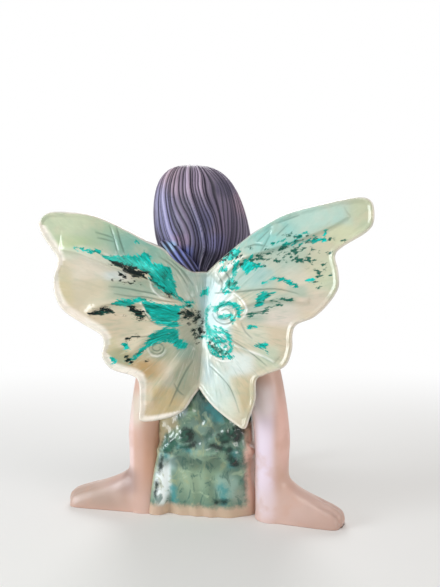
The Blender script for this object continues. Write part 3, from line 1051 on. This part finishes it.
def wing_relief(x, z, edge_distance):
    """Raised ridges, curls and rim, fine brushed waves along the wings, and engraved lines."""
    height = RIM_HEIGHT * (1.0 - smoothstep(0.4 * RIM_WIDTH, RIM_WIDTH, edge_distance))
    inner = smoothstep(0.5, 2.0, edge_distance)
    angle, away = from_root(x, z)
    turn = angle / (2 * np.pi)
    waves = sum(rise * (wandering(turn, pace * away, count, seed) - 0.5)
                for rise, pace, count, seed in BRUSHED_WAVES)
    lumps = WING_LUMPS * (roughness_field(x, z, 2.6, 32) - 0.5)
    height = height + inner * (waves * (0.3 + roughness_field(x, z, 5.0, 33)) + lumps)
    for rise, above, below, *line in RIDGES:
        ridge = rise * ridge_share(x, z, above, below, smooth_path(line, 1.0))
        height = np.maximum(height, height * 0.5 + ridge)
    for line in FINE_VEINS:
        height = height + FINE_HEIGHT * fine_line(x, z, smooth_path(line, 1.0), 0.38, 1.0)
    for line in PALE_LINES:
        height = height + PALE_HEIGHT * ridge_share(x, z, 0.34, 0.26, smooth_path(line, 1.0))
    for curl in SPIRALS:
        height = height + CURL_HEIGHT * fine_line(x, z, spiral(*curl), 0.34, 0.8)
    for line in ENGRAVED:
        height = height - ENGRAVED_DEPTH * ridge_share(x, z, 0.18, 0.18, smooth_path(line, 1.0))
    return height


def wing_outline(step):
    left = smooth_path(LEFT_WING, step)
    right = smooth_path(RIGHT_WING, step)
    return np.concatenate([left[:-1], right[:0:-1]])


def inset(points, distance):
    ahead = np.roll(points, -1, 0) - np.roll(points, 1, 0)
    ahead /= np.linalg.norm(ahead, axis=1, keepdims=True)
    return points + np.stack([ahead[:, 1], -ahead[:, 0]], 1) * distance


def wing_face(outline, spacing):
    """Places and triangles that fill the outline, with a grid of nearly equal triangles inside it."""
    xs = np.arange(*WING_SPAN_X, spacing)
    zs = np.arange(*WING_SPAN_Z, 0.87 * spacing)
    x, z = np.meshgrid(xs, zs)
    x = x + 0.5 * spacing * (np.arange(len(zs)) % 2)[:, None]
    x, z = x.reshape(-1), z.reshape(-1)
    spine_z = np.arange(SPINE_BOTTOM[1] + 0.5, SPINE_TOP[1] - 0.4, spacing)
    away = np.abs(x - spine_x(z)) > 0.5 * spacing
    x, z = np.concatenate([x[away], spine_x(spine_z)]), np.concatenate([z[away], spine_z])
    border = np.concatenate([outline, outline[:1]])
    keep = inside(x, z, outline)
    x, z = x[keep], z[keep]
    far = line_distance(x, z, border) > 0.6 * spacing
    places = [Vector(p) for p in outline] + [Vector(p) for p in zip(x[far], z[far])]
    count = len(outline)
    lines = [(i, (i + 1) % count) for i in range(count)]
    found, _, faces, sources, _, _ = geometry.delaunay_2d_cdt(places, lines, [list(range(count))], 1, 1e-5)
    border_rows = {source: i for i, given in enumerate(sources) for source in given if source < count}
    return np.array([tuple(p) for p in found]), faces, [border_rows[i] for i in range(count)]


def make_wings():
    outline = wing_outline(0.5)
    border = np.concatenate([outline, outline[:1]])
    half = 0.5 * WING_THICKNESS
    edge = inset(outline, WING_ROUNDING[-1][0])
    back, back_faces, back_border = wing_face(edge, WING_BACK_GRID)
    front, front_faces, front_border = wing_face(edge, WING_FRONT_GRID)
    distance = line_distance(back[:, 0], back[:, 1], border)
    relief = wing_relief(back[:, 0], back[:, 1], distance)
    points = [np.stack([back[:, 0], wing_depth(*back.T) + half + relief, back[:, 1]], 1),
              np.stack([front[:, 0], wing_depth(*front.T) - half, front[:, 1]], 1)]
    shift = len(back)
    faces = [list(f) for f in back_faces] + [[shift + i for i in reversed(f)] for f in front_faces]
    rows = [back_border]
    start = len(back) + len(front)
    upper = list(WING_ROUNDING[1:3])
    for inward, out in upper[::-1] + [WING_ROUNDING[0]] + [(a, -b) for a, b in upper]:
        ring = inset(outline, inward)
        crest = RIM_HEIGHT * max(0.0, out / half)
        points.append(np.stack([ring[:, 0], wing_depth(*ring.T) + out + crest, ring[:, 1]], 1))
        rows.append(list(range(start, start + len(ring))))
        start += len(ring)
    rows.append([shift + i for i in front_border])
    count = len(outline)
    for a, b in zip(rows, rows[1:]):
        faces += [(a[i], a[(i + 1) % count], b[(i + 1) % count], b[i]) for i in range(count)]
    item = mesh_object("wings", np.concatenate(points), faces)
    face_outwards(item)
    return item


def root_rings():
    """The block between the back and the middle of the wings."""
    rings = []
    for z in np.linspace(SPINE_BOTTOM[1] + 0.8, SPINE_TOP[1] - 1.4, 40):
        x = spine_x(z)
        w = WING_ROOT_HALF_WIDTH
        outer = wing_depth(x + w, z) + 0.1
        middle = wing_depth(x + 0.5 * w, z) + 0.1
        places = [(x - w, SHOULDER_Y), (x + w, SHOULDER_Y), (x + w, outer), (x + 0.5 * w, middle),
                  (x, WING_ROOT_Y + 0.1), (x - 0.5 * w, middle), (x - w, outer)]
        rings.append([(px, py, z) for px, py in places])
    return rings


# Materials

class Nodes:
    """Short calls for building one material's nodes."""

    def __init__(self, name):
        self.material = bpy.data.materials.new(name)
        self.material.use_nodes = True
        self.tree = self.material.node_tree
        self.shader = self.tree.nodes["Principled BSDF"]

    def link(self, source, target):
        self.tree.links.new(source, target)

    def value(self, socket, given):
        if isinstance(given, bpy.types.NodeSocket):
            self.link(given, socket)
        else:
            socket.default_value = given

    def attribute(self, name, output="Fac"):
        node = self.tree.nodes.new("ShaderNodeAttribute")
        node.attribute_name = name
        return node.outputs[output]

    def place(self):
        return self.tree.nodes.new("ShaderNodeTexCoord").outputs["Object"]

    def noise(self, vector, scale, detail=3.0, rough=0.5, distortion=0.0):
        node = self.tree.nodes.new("ShaderNodeTexNoise")
        self.value(node.inputs["Vector"], vector)
        node.inputs["Scale"].default_value = scale
        node.inputs["Detail"].default_value = detail
        node.inputs["Roughness"].default_value = rough
        node.inputs["Distortion"].default_value = distortion
        return node.outputs["Fac"]

    def scaled(self, vector, scale):
        node = self.tree.nodes.new("ShaderNodeMapping")
        self.link(vector, node.inputs["Vector"])
        node.inputs["Scale"].default_value = scale
        return node.outputs[0]

    def math(self, operation, a, b):
        node = self.tree.nodes.new("ShaderNodeMath")
        node.operation = operation
        self.value(node.inputs[0], a)
        self.value(node.inputs[1], b)
        return node.outputs[0]

    def times(self, a, b):
        return self.math("MULTIPLY", a, b)

    def plus(self, a, b):
        return self.math("ADD", a, b)

    def swing(self, value, size):
        """A value around a half becomes one around nought, this many times as large."""
        return self.times(self.math("SUBTRACT", value, 0.5), size)

    def range(self, value, low, high, out_low=0.0, out_high=1.0):
        node = self.tree.nodes.new("ShaderNodeMapRange")
        node.interpolation_type = "SMOOTHSTEP"
        self.value(node.inputs["Value"], value)
        ends = {"From Min": low, "From Max": high, "To Min": out_low, "To Max": out_high}
        for name, given in ends.items():
            node.inputs[name].default_value = given
        return node.outputs[0]

    def mix(self, factor, a, b):
        node = self.tree.nodes.new("ShaderNodeMix")
        node.data_type = "RGBA"
        self.value(node.inputs["Factor"], factor)
        self.value(node.inputs[6], a)
        self.value(node.inputs[7], b)
        return node.outputs[2]

    def vector(self, x, y, z):
        node = self.tree.nodes.new("ShaderNodeCombineXYZ")
        self.value(node.inputs[0], x)
        self.value(node.inputs[1], y)
        self.value(node.inputs[2], z)
        return node.outputs[0]

    def bump(self, height, strength, distance):
        node = self.tree.nodes.new("ShaderNodeBump")
        node.inputs["Strength"].default_value = strength
        node.inputs["Distance"].default_value = distance * MM
        self.link(height, node.inputs["Height"])
        self.link(node.outputs[0], self.shader.inputs["Normal"])

    def set(self, name, given):
        self.value(self.shader.inputs[name], given)


def skin_material():
    n = Nodes("skin_paint")
    place = n.place()
    broad = n.noise(place, 90.0, 2.0)
    color = n.mix(n.range(broad, 0.40, 0.65, 0.0, 0.4), n.attribute("paint", "Color"), srgb(216, 188, 178))
    thin = n.noise(place, 240.0, 3.0)
    color = n.mix(n.range(thin, 0.52, 0.72, 0.0, 0.35), color, srgb(198, 154, 132))
    color = n.mix(n.attribute("blush"), color, srgb(208, 136, 124))
    color = n.mix(n.attribute("lips"), color, srgb(190, 96, 92))
    color = n.mix(n.range(n.attribute("lines"), 0.25, 0.7, 0.0, 0.9), color, srgb(84, 56, 48))
    n.set("Base Color", color)
    n.set("Roughness", n.range(n.noise(place, 500.0, 3.0), 0.3, 0.7, 0.34, 0.44))
    n.set("Subsurface Weight", 0.08)
    n.set("Subsurface Radius", (0.002, 0.001, 0.0006))
    n.set("Coat Weight", 0.25)
    n.set("Coat Roughness", 0.28)
    n.bump(n.noise(place, 900.0, 4.0), 0.2, 0.06)
    return n.material


def hair_material():
    n = Nodes("hair_paint")
    groove, tone, across, down = (n.attribute(name) for name in ("groove", "tone", "across", "down"))
    color = n.attribute("paint", "Color")
    streak = n.noise(n.vector(n.times(across, 420.0), n.times(down, 2.2), 0.0), 1.0, 2.0)
    color = n.mix(n.range(tone, 0.25, 0.75, 0.42, 0.0), color, srgb(70, 64, 88))
    color = n.mix(n.range(streak, 0.45, 0.75, 0.0, 0.35), color, srgb(62, 58, 82))
    dark = n.range(groove, 0.30, 1.0, 1.0, 0.0)
    color = n.mix(n.times(dark, 0.96), color, srgb(30, 26, 46))
    worn = n.times(n.range(groove, 0.84, 0.98), n.range(tone, 0.35, 0.80))
    n.set("Base Color", n.mix(n.times(worn, 0.35), color, srgb(196, 184, 204)))
    n.set("Roughness", 0.42)
    n.set("Specular IOR Level", 0.35)
    n.bump(streak, 0.35, 0.12)
    return n.material


def dress_material():
    n = Nodes("dress_paint")
    place = n.place()
    color = n.attribute("paint", "Color")
    swirl = n.noise(n.scaled(place, (1.0, 1.0, 0.6)), 330.0, 5.0, 0.62, 1.6)
    color = n.mix(n.range(swirl, 0.52, 0.64, 0.0, 0.75), color, srgb(50, 96, 84))
    color = n.mix(n.range(swirl, 0.34, 0.44, 0.55, 0.0), color, srgb(156, 164, 122))
    light = n.noise(place, 330.0, 3.0, 0.55, 0.8)
    color = n.mix(n.range(light, 0.58, 0.70, 0.0, 0.6), color, srgb(172, 192, 160))
    raised = n.attribute("raised")
    color = n.mix(n.range(raised, 0.05, 0.45, 0.55, 0.0), color, srgb(22, 62, 54))
    color = n.mix(n.range(raised, 0.75, 1.15, 0.0, 0.6), color, srgb(150, 184, 160))
    rough = n.noise(place, 700.0, 6.0, 0.7)
    teal = n.range(n.plus(n.attribute("teal"), n.swing(rough, 6.0)), -1.8, 1.6)
    color = n.mix(n.times(teal, 0.85), color, srgb(40, 136, 138))
    dark = n.range(n.plus(n.attribute("black"), n.swing(rough, 5.0)), -1.3, 0.9)
    deep = n.mix(n.range(raised, 0.45, 1.45), srgb(2, 28, 22), srgb(26, 92, 74))
    color = n.mix(n.times(dark, 0.95), color, deep)
    hem = n.range(n.plus(n.attribute("bare"), n.swing(rough, 2.4)), -0.9, 0.7)
    bare = n.attribute("bare_paint", "Color")
    bare = n.mix(n.range(n.noise(place, 150.0, 2.0), 0.35, 0.65, 0.0, 0.3), bare, srgb(188, 176, 146))
    n.set("Base Color", n.mix(hem, color, bare))
    n.set("Roughness", 0.16)
    n.set("Specular IOR Level", 0.3)
    dull = n.math("MAXIMUM", hem, n.times(dark, 0.55))
    n.set("Coat Weight", n.range(dull, 0.0, 1.0, 0.95, 0.25))
    n.set("Coat Roughness", 0.05)
    n.bump(n.noise(place, 420.0, 4.0), 0.5, 0.24)
    return n.material


def wing_material():
    n = Nodes("wing_paint")
    place = n.place()
    long = n.scaled(place, (0.4, 1.0, 1.0))
    color = n.attribute("paint", "Color")
    shade = n.noise(n.scaled(place, (0.35, 1.0, 1.0)), 300.0, 4.0, 0.6)
    color = n.mix(n.range(shade, 0.45, 0.75, 0.0, 0.35), color, srgb(150, 172, 150))
    warm = n.noise(place, 190.0, 3.0)
    color = n.mix(n.range(warm, 0.5, 0.7, 0.0, 0.25), color, srgb(214, 192, 166))
    ray, reach = n.attribute("ray"), n.attribute("reach")
    side = n.times(n.attribute("side"), 0.15)
    streaks = n.noise(n.vector(n.times(ray, 46.0), n.times(reach, 0.45), side), 1.0, 7.0, 0.72)
    brushed = n.noise(n.vector(n.times(ray, 26.0), n.times(reach, 0.22), side), 1.0, 5.0, 0.6)
    fray = n.noise(long, 2400.0, 4.0, 0.65)
    central = n.range(reach, 8.0, 24.0, 1.0, 0.3)
    color = n.mix(n.times(n.range(brushed, 0.50, 0.70, 0.0, 0.45), central), color, srgb(120, 152, 130))
    color = n.mix(n.times(n.range(brushed, 0.28, 0.46, 0.35, 0.0), central), color, srgb(226, 220, 204))
    color = n.mix(n.times(n.attribute("sunk"), 0.6), color, srgb(52, 88, 74))
    ragged = n.plus(n.swing(streaks, 5.5), n.swing(fray, 2.6))
    teal = n.range(n.plus(n.attribute("teal"), ragged), -0.14, 0.14)
    teal = n.times(teal, n.range(n.attribute("pale"), 0.25, 0.6, 1.0, 0.1))
    tint = n.plus(n.times(streaks, 0.6), n.times(brushed, 0.4))
    foil = n.mix(n.range(tint, 0.40, 0.50), srgb(0, 84, 70), srgb(0, 160, 146))
    foil = n.mix(n.range(tint, 0.52, 0.60), foil, srgb(4, 200, 190))
    foil = n.mix(n.range(n.noise(long, 900.0, 4.0, 0.7), 0.64, 0.70, 0.0, 0.45), foil, srgb(150, 226, 214))
    color = n.mix(teal, color, foil)
    torn = n.plus(n.swing(n.noise(long, 1300.0, 8.0, 0.75), 7.0), n.swing(streaks, 5.0))
    dark = n.range(n.plus(n.attribute("black"), torn), -0.12, 0.12)
    deep = n.mix(n.attribute("green"), srgb(4, 20, 18), srgb(36, 104, 88))
    color = n.mix(dark, color, n.mix(n.range(tint, 0.52, 0.66), deep, srgb(16, 92, 78)))
    n.set("Base Color", color)
    n.set("Metallic", n.times(teal, 0.2))
    n.set("Roughness", n.range(shade, 0.3, 0.7, 0.24, 0.36))
    n.set("Specular IOR Level", 0.15)
    dull = n.math("MAXIMUM", dark, n.times(teal, 0.8))
    n.set("Coat Weight", n.range(dull, 0.0, 1.0, 0.9, 0.1))
    n.set("Coat Roughness", 0.06)
    n.set("Subsurface Weight", 0.06)
    n.set("Subsurface Radius", (0.0016, 0.0016, 0.0012))
    n.bump(n.plus(brushed, n.times(streaks, 0.5)), 0.5, 0.16)
    return n.material


# Painted fields

def light_of(rgb):
    """The colour's red, green and blue, without its alpha."""
    return np.array(srgb(*rgb)[:3])


def dab_colors(x, z, dabs):
    """The dabs laid over one another, in order."""
    colors = np.zeros((len(x), 3))
    for px, pz, wide, high, rgb, amount in dabs:
        share = amount * np.exp(-(((x - px) / wide) ** 4 + ((z - pz) / high) ** 4))
        colors += (light_of(rgb) - colors) * share[:, None]
    return colors


def patch_field(x, z, patches, strokes):
    """Above nought inside the patches and strokes, and further below it the further away."""
    field = np.full(len(x), -3.0)
    for patch in patches:
        away = line_distance(x, z, patch + patch[:1])
        field = np.maximum(field, np.where(inside(x, z, patch), 1.6 * away + 0.25, -1.5 * away))
    for width, *line in strokes:
        field = np.maximum(field, 1.9 * (0.5 * width - line_distance(x, z, line)))
    return np.clip(field, -3.0, 1.2)


def speckle_strokes():
    """Small scattered flecks, fewer and smaller towards the edge of each cloud."""
    chance = np.random.default_rng(17)
    flecks = []
    for px, pz, wide, high, count in SPECKLES:
        for dx, dz, size in zip(chance.normal(0, 0.5 * wide, count), chance.normal(0, 0.5 * high, count),
                                chance.uniform(0.08, 0.30, count)):
            flecks.append((size, (px + dx, pz + dz), (px + dx + 1.6 * size, pz + dz - 0.5 * size)))
    return tuple(flecks)


def paint_hair(item):
    points = vertex_points(item)
    x = points[:, 0] + 1.4 * (roughness_field(points[:, 0], points[:, 2], 2.4, 52) - 0.5)
    store_color(item, "paint", dab_colors(x, points[:, 2], HAIR_DABS))


def rim_share(x, z, outline):
    """1 in the pale band along the sheet's edge, which is wide where the edge faces left and down."""
    best, width = np.full(np.shape(x), 1e9), np.full(np.shape(x), 0.3)
    for (ax, az), (bx, bz) in zip(outline, np.roll(outline, -1, 0)):
        dx, dz = bx - ax, bz - az
        size = np.hypot(dx, dz) + 1e-9
        t = np.clip(((x - ax) * dx + (z - az) * dz) / size ** 2, 0.0, 1.0)
        away = np.hypot(x - ax - t * dx, z - az - t * dz)
        facing = max(0.0, (-0.7 * dz - 0.7 * dx) / size)
        wide = 0.42 + (2.0 if ax > 0.0 else 0.5) * facing
        width = np.where(away < best, wide, width)
        best = np.minimum(best, away)
    return 1.0 - smoothstep(0.55 * width, width, best)


def paint_wings(item):
    points = vertex_points(item)
    x = points[:, 0] + 1.6 * (roughness_field(points[:, 0], points[:, 2], 3.5, 41) - 0.5)
    z = points[:, 2] + 1.2 * (roughness_field(points[:, 0], points[:, 2], 3.5, 42) - 0.5)
    color = dab_colors(x, z, WING_DABS)
    x, z = points[:, 0], points[:, 2]
    rim = np.where(x > spine_x(z), 0.95, 0.6) * rim_share(x, z, wing_outline(0.8))
    color += (light_of(RIM_COLOR) - color) * rim[:, None]
    lines = [smooth_path(line, 1.0) for line in ENGRAVED + FINE_VEINS] + [spiral(*curl) for curl in SPIRALS]
    sunk = np.zeros(len(x))
    for line in lines:
        sunk = np.maximum(sunk, ridge_share(x, z + 0.3, 0.15, 0.15, line))
    back = smoothstep(-0.2, 0.2, points[:, 1] - wing_depth(x, z))
    pale = np.zeros(len(x))
    for line in PALE_LINES:
        pale = np.maximum(pale, ridge_share(x, z, 0.22, 0.22, smooth_path(line, 1.0)))
    strength = np.where(x > spine_x(z), 0.45, 0.8) * pale * back
    color += (light_of(WORN_COLOR) - color) * strength[:, None]
    store_color(item, "paint", color)
    store(item, "pale", pale * back)
    store(item, "sunk", sunk * back * (1.0 - pale))
    angle, away = from_root(x, z)
    store(item, "ray", np.abs(np.mod(0.5 * np.pi - angle + np.pi, 2 * np.pi) - np.pi))
    store(item, "reach", away)
    store(item, "side", x)
    green = smoothstep(-2.0, -5.0, x) * smoothstep(52.0, 49.0, z) + 0.8 * smoothstep(-8.0, -13.0, x)
    store(item, "green", green)
    front = 4.0 * (1.0 - back)
    store(item, "teal", patch_field(x, z, TEAL_PATCHES, TEAL_STROKES) - front)
    store(item, "black", patch_field(x, z, BLACK_PATCHES, BLACK_STROKES + speckle_strokes()) - front)


def paint_dress(item):
    points = vertex_points(item)
    x, y, z = points.T
    warp_x = x + 1.4 * (roughness_field(x, z, 2.2, 43) - 0.5)
    warp_z = z + 1.4 * (roughness_field(x, z, 2.2, 44) - 0.5)
    plain = light_of(DRESS_DABS[0][4])
    back = smoothstep(-1.0, 3.0, y)[:, None]
    store_color(item, "paint", plain + (dab_colors(warp_x, warp_z, DRESS_DABS) - plain) * back)
    front = 4.0 * (1.0 - smoothstep(0.0, 2.0, y))
    relief = (dress_relief(x, y, z) - 0.6) * smoothstep(8.0, 13.0, z) * smoothstep(1.0, 4.0, y)
    store(item, "raised", 0.6 + relief)
    store(item, "teal", patch_field(x, z, (), DRESS_TEAL) - front)
    store(item, "black", patch_field(x, z, (), DRESS_DARK) - front)
    edge_z, edge_x = [p[1] for p in DRESS_EDGE[::-1]], [p[0] for p in DRESS_EDGE[::-1]]
    left = np.minimum(x - np.interp(z, edge_z, edge_x), BARE_LEFT_TOP_Z - z)
    right = np.minimum(DRESS_RIGHT_EDGE_X - x, BARE_RIGHT_TOP_Z - z)
    bare = np.maximum(np.minimum(np.maximum(left, right), warp_x - x + y - 0.5), HEM_TOP_Z - z)
    store(item, "bare", np.clip(bare, -3.0, 3.0))
    store_color(item, "bare_paint", dab_colors(warp_x, warp_z, BARE_DABS))


def paint_skin(item):
    points = vertex_points(item)
    x, y, z = points.T
    front = smoothstep(-4.0, -6.0, y)
    face_x = x - HEAD_X - HEAD_LEAN * (z - HEAD_Z)
    blush = sum(bump(np.hypot(face_x - s * 4.6, z - 58.6), 1.7) for s in (-1, 1)) * front * 0.7
    lip = bump(face_x / 1.7, 1.0) * bump((z - MOUTH_Z) / 0.62, 1.0) * front
    lines = np.zeros(len(x))
    for s in (-1, 1):
        across = (face_x - s * EYE_SPACING) / EYE_HALF_WIDTH
        wide = np.abs(across)
        lash = bump(z - (EYE_Z - 0.65 + 0.35 * across ** 2), 0.20) * smoothstep(1.05, 0.85, wide)
        brow = 0.7 * bump(z - (EYE_Z + 2.4 - 0.45 * across ** 2), 0.24) * smoothstep(1.25, 0.8, wide)
        lines = np.maximum(lines, np.maximum(lash, brow) * front)
    back = smoothstep(0.5, 3.0, y)[:, None]
    plain = light_of(SKIN_FRONT_COLOR)
    store_color(item, "paint", plain + (dab_colors(x, z, SKIN_DABS) - plain) * back)
    store(item, "blush", blush)
    store(item, "lips", smoothstep(0.45, 0.6, lip))
    store(item, "lines", lines)


# Camera, floor and light

def add_camera():
    side, rise = math.radians(CAMERA_SIDE), math.radians(CAMERA_RISE)
    away = Vector((-math.sin(side) * math.cos(rise), math.cos(side) * math.cos(rise), math.sin(rise)))
    target = Vector(CAMERA_TARGET) * MM
    data = bpy.data.cameras.new("camera")
    data.lens = CAMERA_LENS
    data.sensor_width = 36.0
    data.clip_start = 0.005
    data.clip_end = 20.0
    camera = bpy.data.objects.new("camera", data)
    bpy.context.scene.collection.objects.link(camera)
    camera.location = target + away * CAMERA_DISTANCE * MM
    camera.rotation_euler = (-away).to_track_quat("-Z", "Y").to_euler()
    bpy.context.scene.camera = camera


def add_light(name, place, target, size, power, color):
    data = bpy.data.lights.new(name, "AREA")
    data.shape = "DISK"
    data.size = size * MM
    data.energy = power
    data.color = color
    lamp = bpy.data.objects.new(name, data)
    bpy.context.scene.collection.objects.link(lamp)
    lamp.location = Vector(place) * MM
    lamp.rotation_euler = (Vector(target) - Vector(place)).to_track_quat("-Z", "Y").to_euler()


def add_floor():
    """A pale floor that holds the shadow near the figure and turns white far from it."""
    far = FLOOR_SIZE
    corners = [(x, y, FLOOR_Z) for x, y in ((-far, -far), (far, -far), (far, far), (-far, far))]
    item = mesh_object("floor", corners, [(0, 1, 2, 3)])
    n = Nodes("floor")
    n.set("Base Color", srgb(*FLOOR_COLOR))
    n.set("Roughness", 0.7)
    glow = n.tree.nodes.new("ShaderNodeEmission")
    away = n.tree.nodes.new("ShaderNodeVectorMath")
    away.operation = "LENGTH"
    n.link(n.place(), away.inputs[0])
    path = n.tree.nodes.new("ShaderNodeLightPath")
    share = n.range(away.outputs["Value"], FLOOR_PLAIN * MM, FLOOR_WHITE * MM)
    blend = n.tree.nodes.new("ShaderNodeMixShader")
    n.link(n.times(share, path.outputs["Is Camera Ray"]), blend.inputs[0])
    n.link(n.shader.outputs[0], blend.inputs[1])
    n.link(glow.outputs[0], blend.inputs[2])
    n.link(blend.outputs[0], n.tree.nodes["Material Output"].inputs["Surface"])
    item.data.materials.append(n.material)


def add_world():
    world = bpy.data.worlds.new("studio")
    bpy.context.scene.world = world
    world.use_nodes = True
    tree = world.node_tree
    background = tree.nodes["Background"]
    path = tree.nodes.new("ShaderNodeLightPath")
    seen = path.outputs["Is Camera Ray"]
    for name in ("Is Glossy Ray", "Is Transmission Ray"):
        either = tree.nodes.new("ShaderNodeMath")
        either.operation = "MAXIMUM"
        tree.links.new(seen, either.inputs[0])
        tree.links.new(path.outputs[name], either.inputs[1])
        seen = either.outputs[0]
    strength = tree.nodes.new("ShaderNodeMapRange")
    strength.inputs["To Min"].default_value = SKY_LIGHT
    strength.inputs["To Max"].default_value = 1.0
    tree.links.new(seen, strength.inputs["Value"])
    tree.links.new(strength.outputs[0], background.inputs["Strength"])
    background.inputs["Color"].default_value = (1.0, 1.0, 1.0, 1.0)


def add_lights():
    for name, place, size, power, color in LAMPS:
        add_light(name, place, LAMP_TARGET, size, power, color)


# Pieces

def build_skin():
    neck = [(0.4, SHOULDER_Y - 0.8, SHOULDER_Z - 1.0), (0.6, SHOULDER_Y - 1.2, SHOULDER_Z + 6.0),
            (HEAD_X, HEAD_Y + 0.8, HEAD_Z - 0.6 * HEAD_HALF_HEIGHT)]
    sets = [head_rings(), even_tube(neck, [NECK_RADIUS + 0.4, NECK_RADIUS, NECK_RADIUS], 48, 30)]
    sets.append(body_rings(DRESS_TOP_Z - 5.0, SHOULDER_Z + 5.6, 0.6, 120, False, 0.5))
    sets += [arm_rings(LEFT_ARM_X), arm_rings(RIGHT_ARM_X)]
    for side, arm_x, turn, length in ((1, LEFT_ARM_X, LEFT_HAND_TURN, LEFT_HAND_LENGTH),
                                      (-1, RIGHT_ARM_X, RIGHT_HAND_TURN, RIGHT_HAND_LENGTH)):
        place = hand_to_body(side, arm_x[-1], turn)
        sets += [hand_rings(place, length), thumb_rings(place)]
        sets.append(leg_rings(side))
        sets += foot_rings(side)
    item = fuse(joined_object("skin", sets), SKIN_GRID, 3)
    soften_hands(item)
    paint_skin(item)
    return finish_piece(item, skin_material())


def build_dress():
    sets = [body_rings(-CUT_DEPTH, DRESS_TOP_Z, 0.25, 300, True, 0.0), skirt_rings(),
            even_tube(SIDE_FOLD, SIDE_FOLD_RADII, 48, 60)]
    item = fuse(joined_object("dress", sets), DRESS_GRID, 2)
    paint_dress(item)
    return finish_piece(item, dress_material())


def build_hair():
    material = hair_material()
    finish_piece(make_hair(), material)
    finish_piece(make_lock(), material)


def build_wings():
    material = wing_material()
    wings = make_wings()
    paint_wings(wings)
    finish_piece(wings, material)
    root = joined_object("wing_root", [root_rings()])
    paint_wings(root)
    finish_piece(root, material)


bpy.context.scene.view_settings.view_transform = "Standard"
add_camera()
add_floor()
add_world()
add_lights()
build_skin()
build_dress()
build_hair()
build_wings()
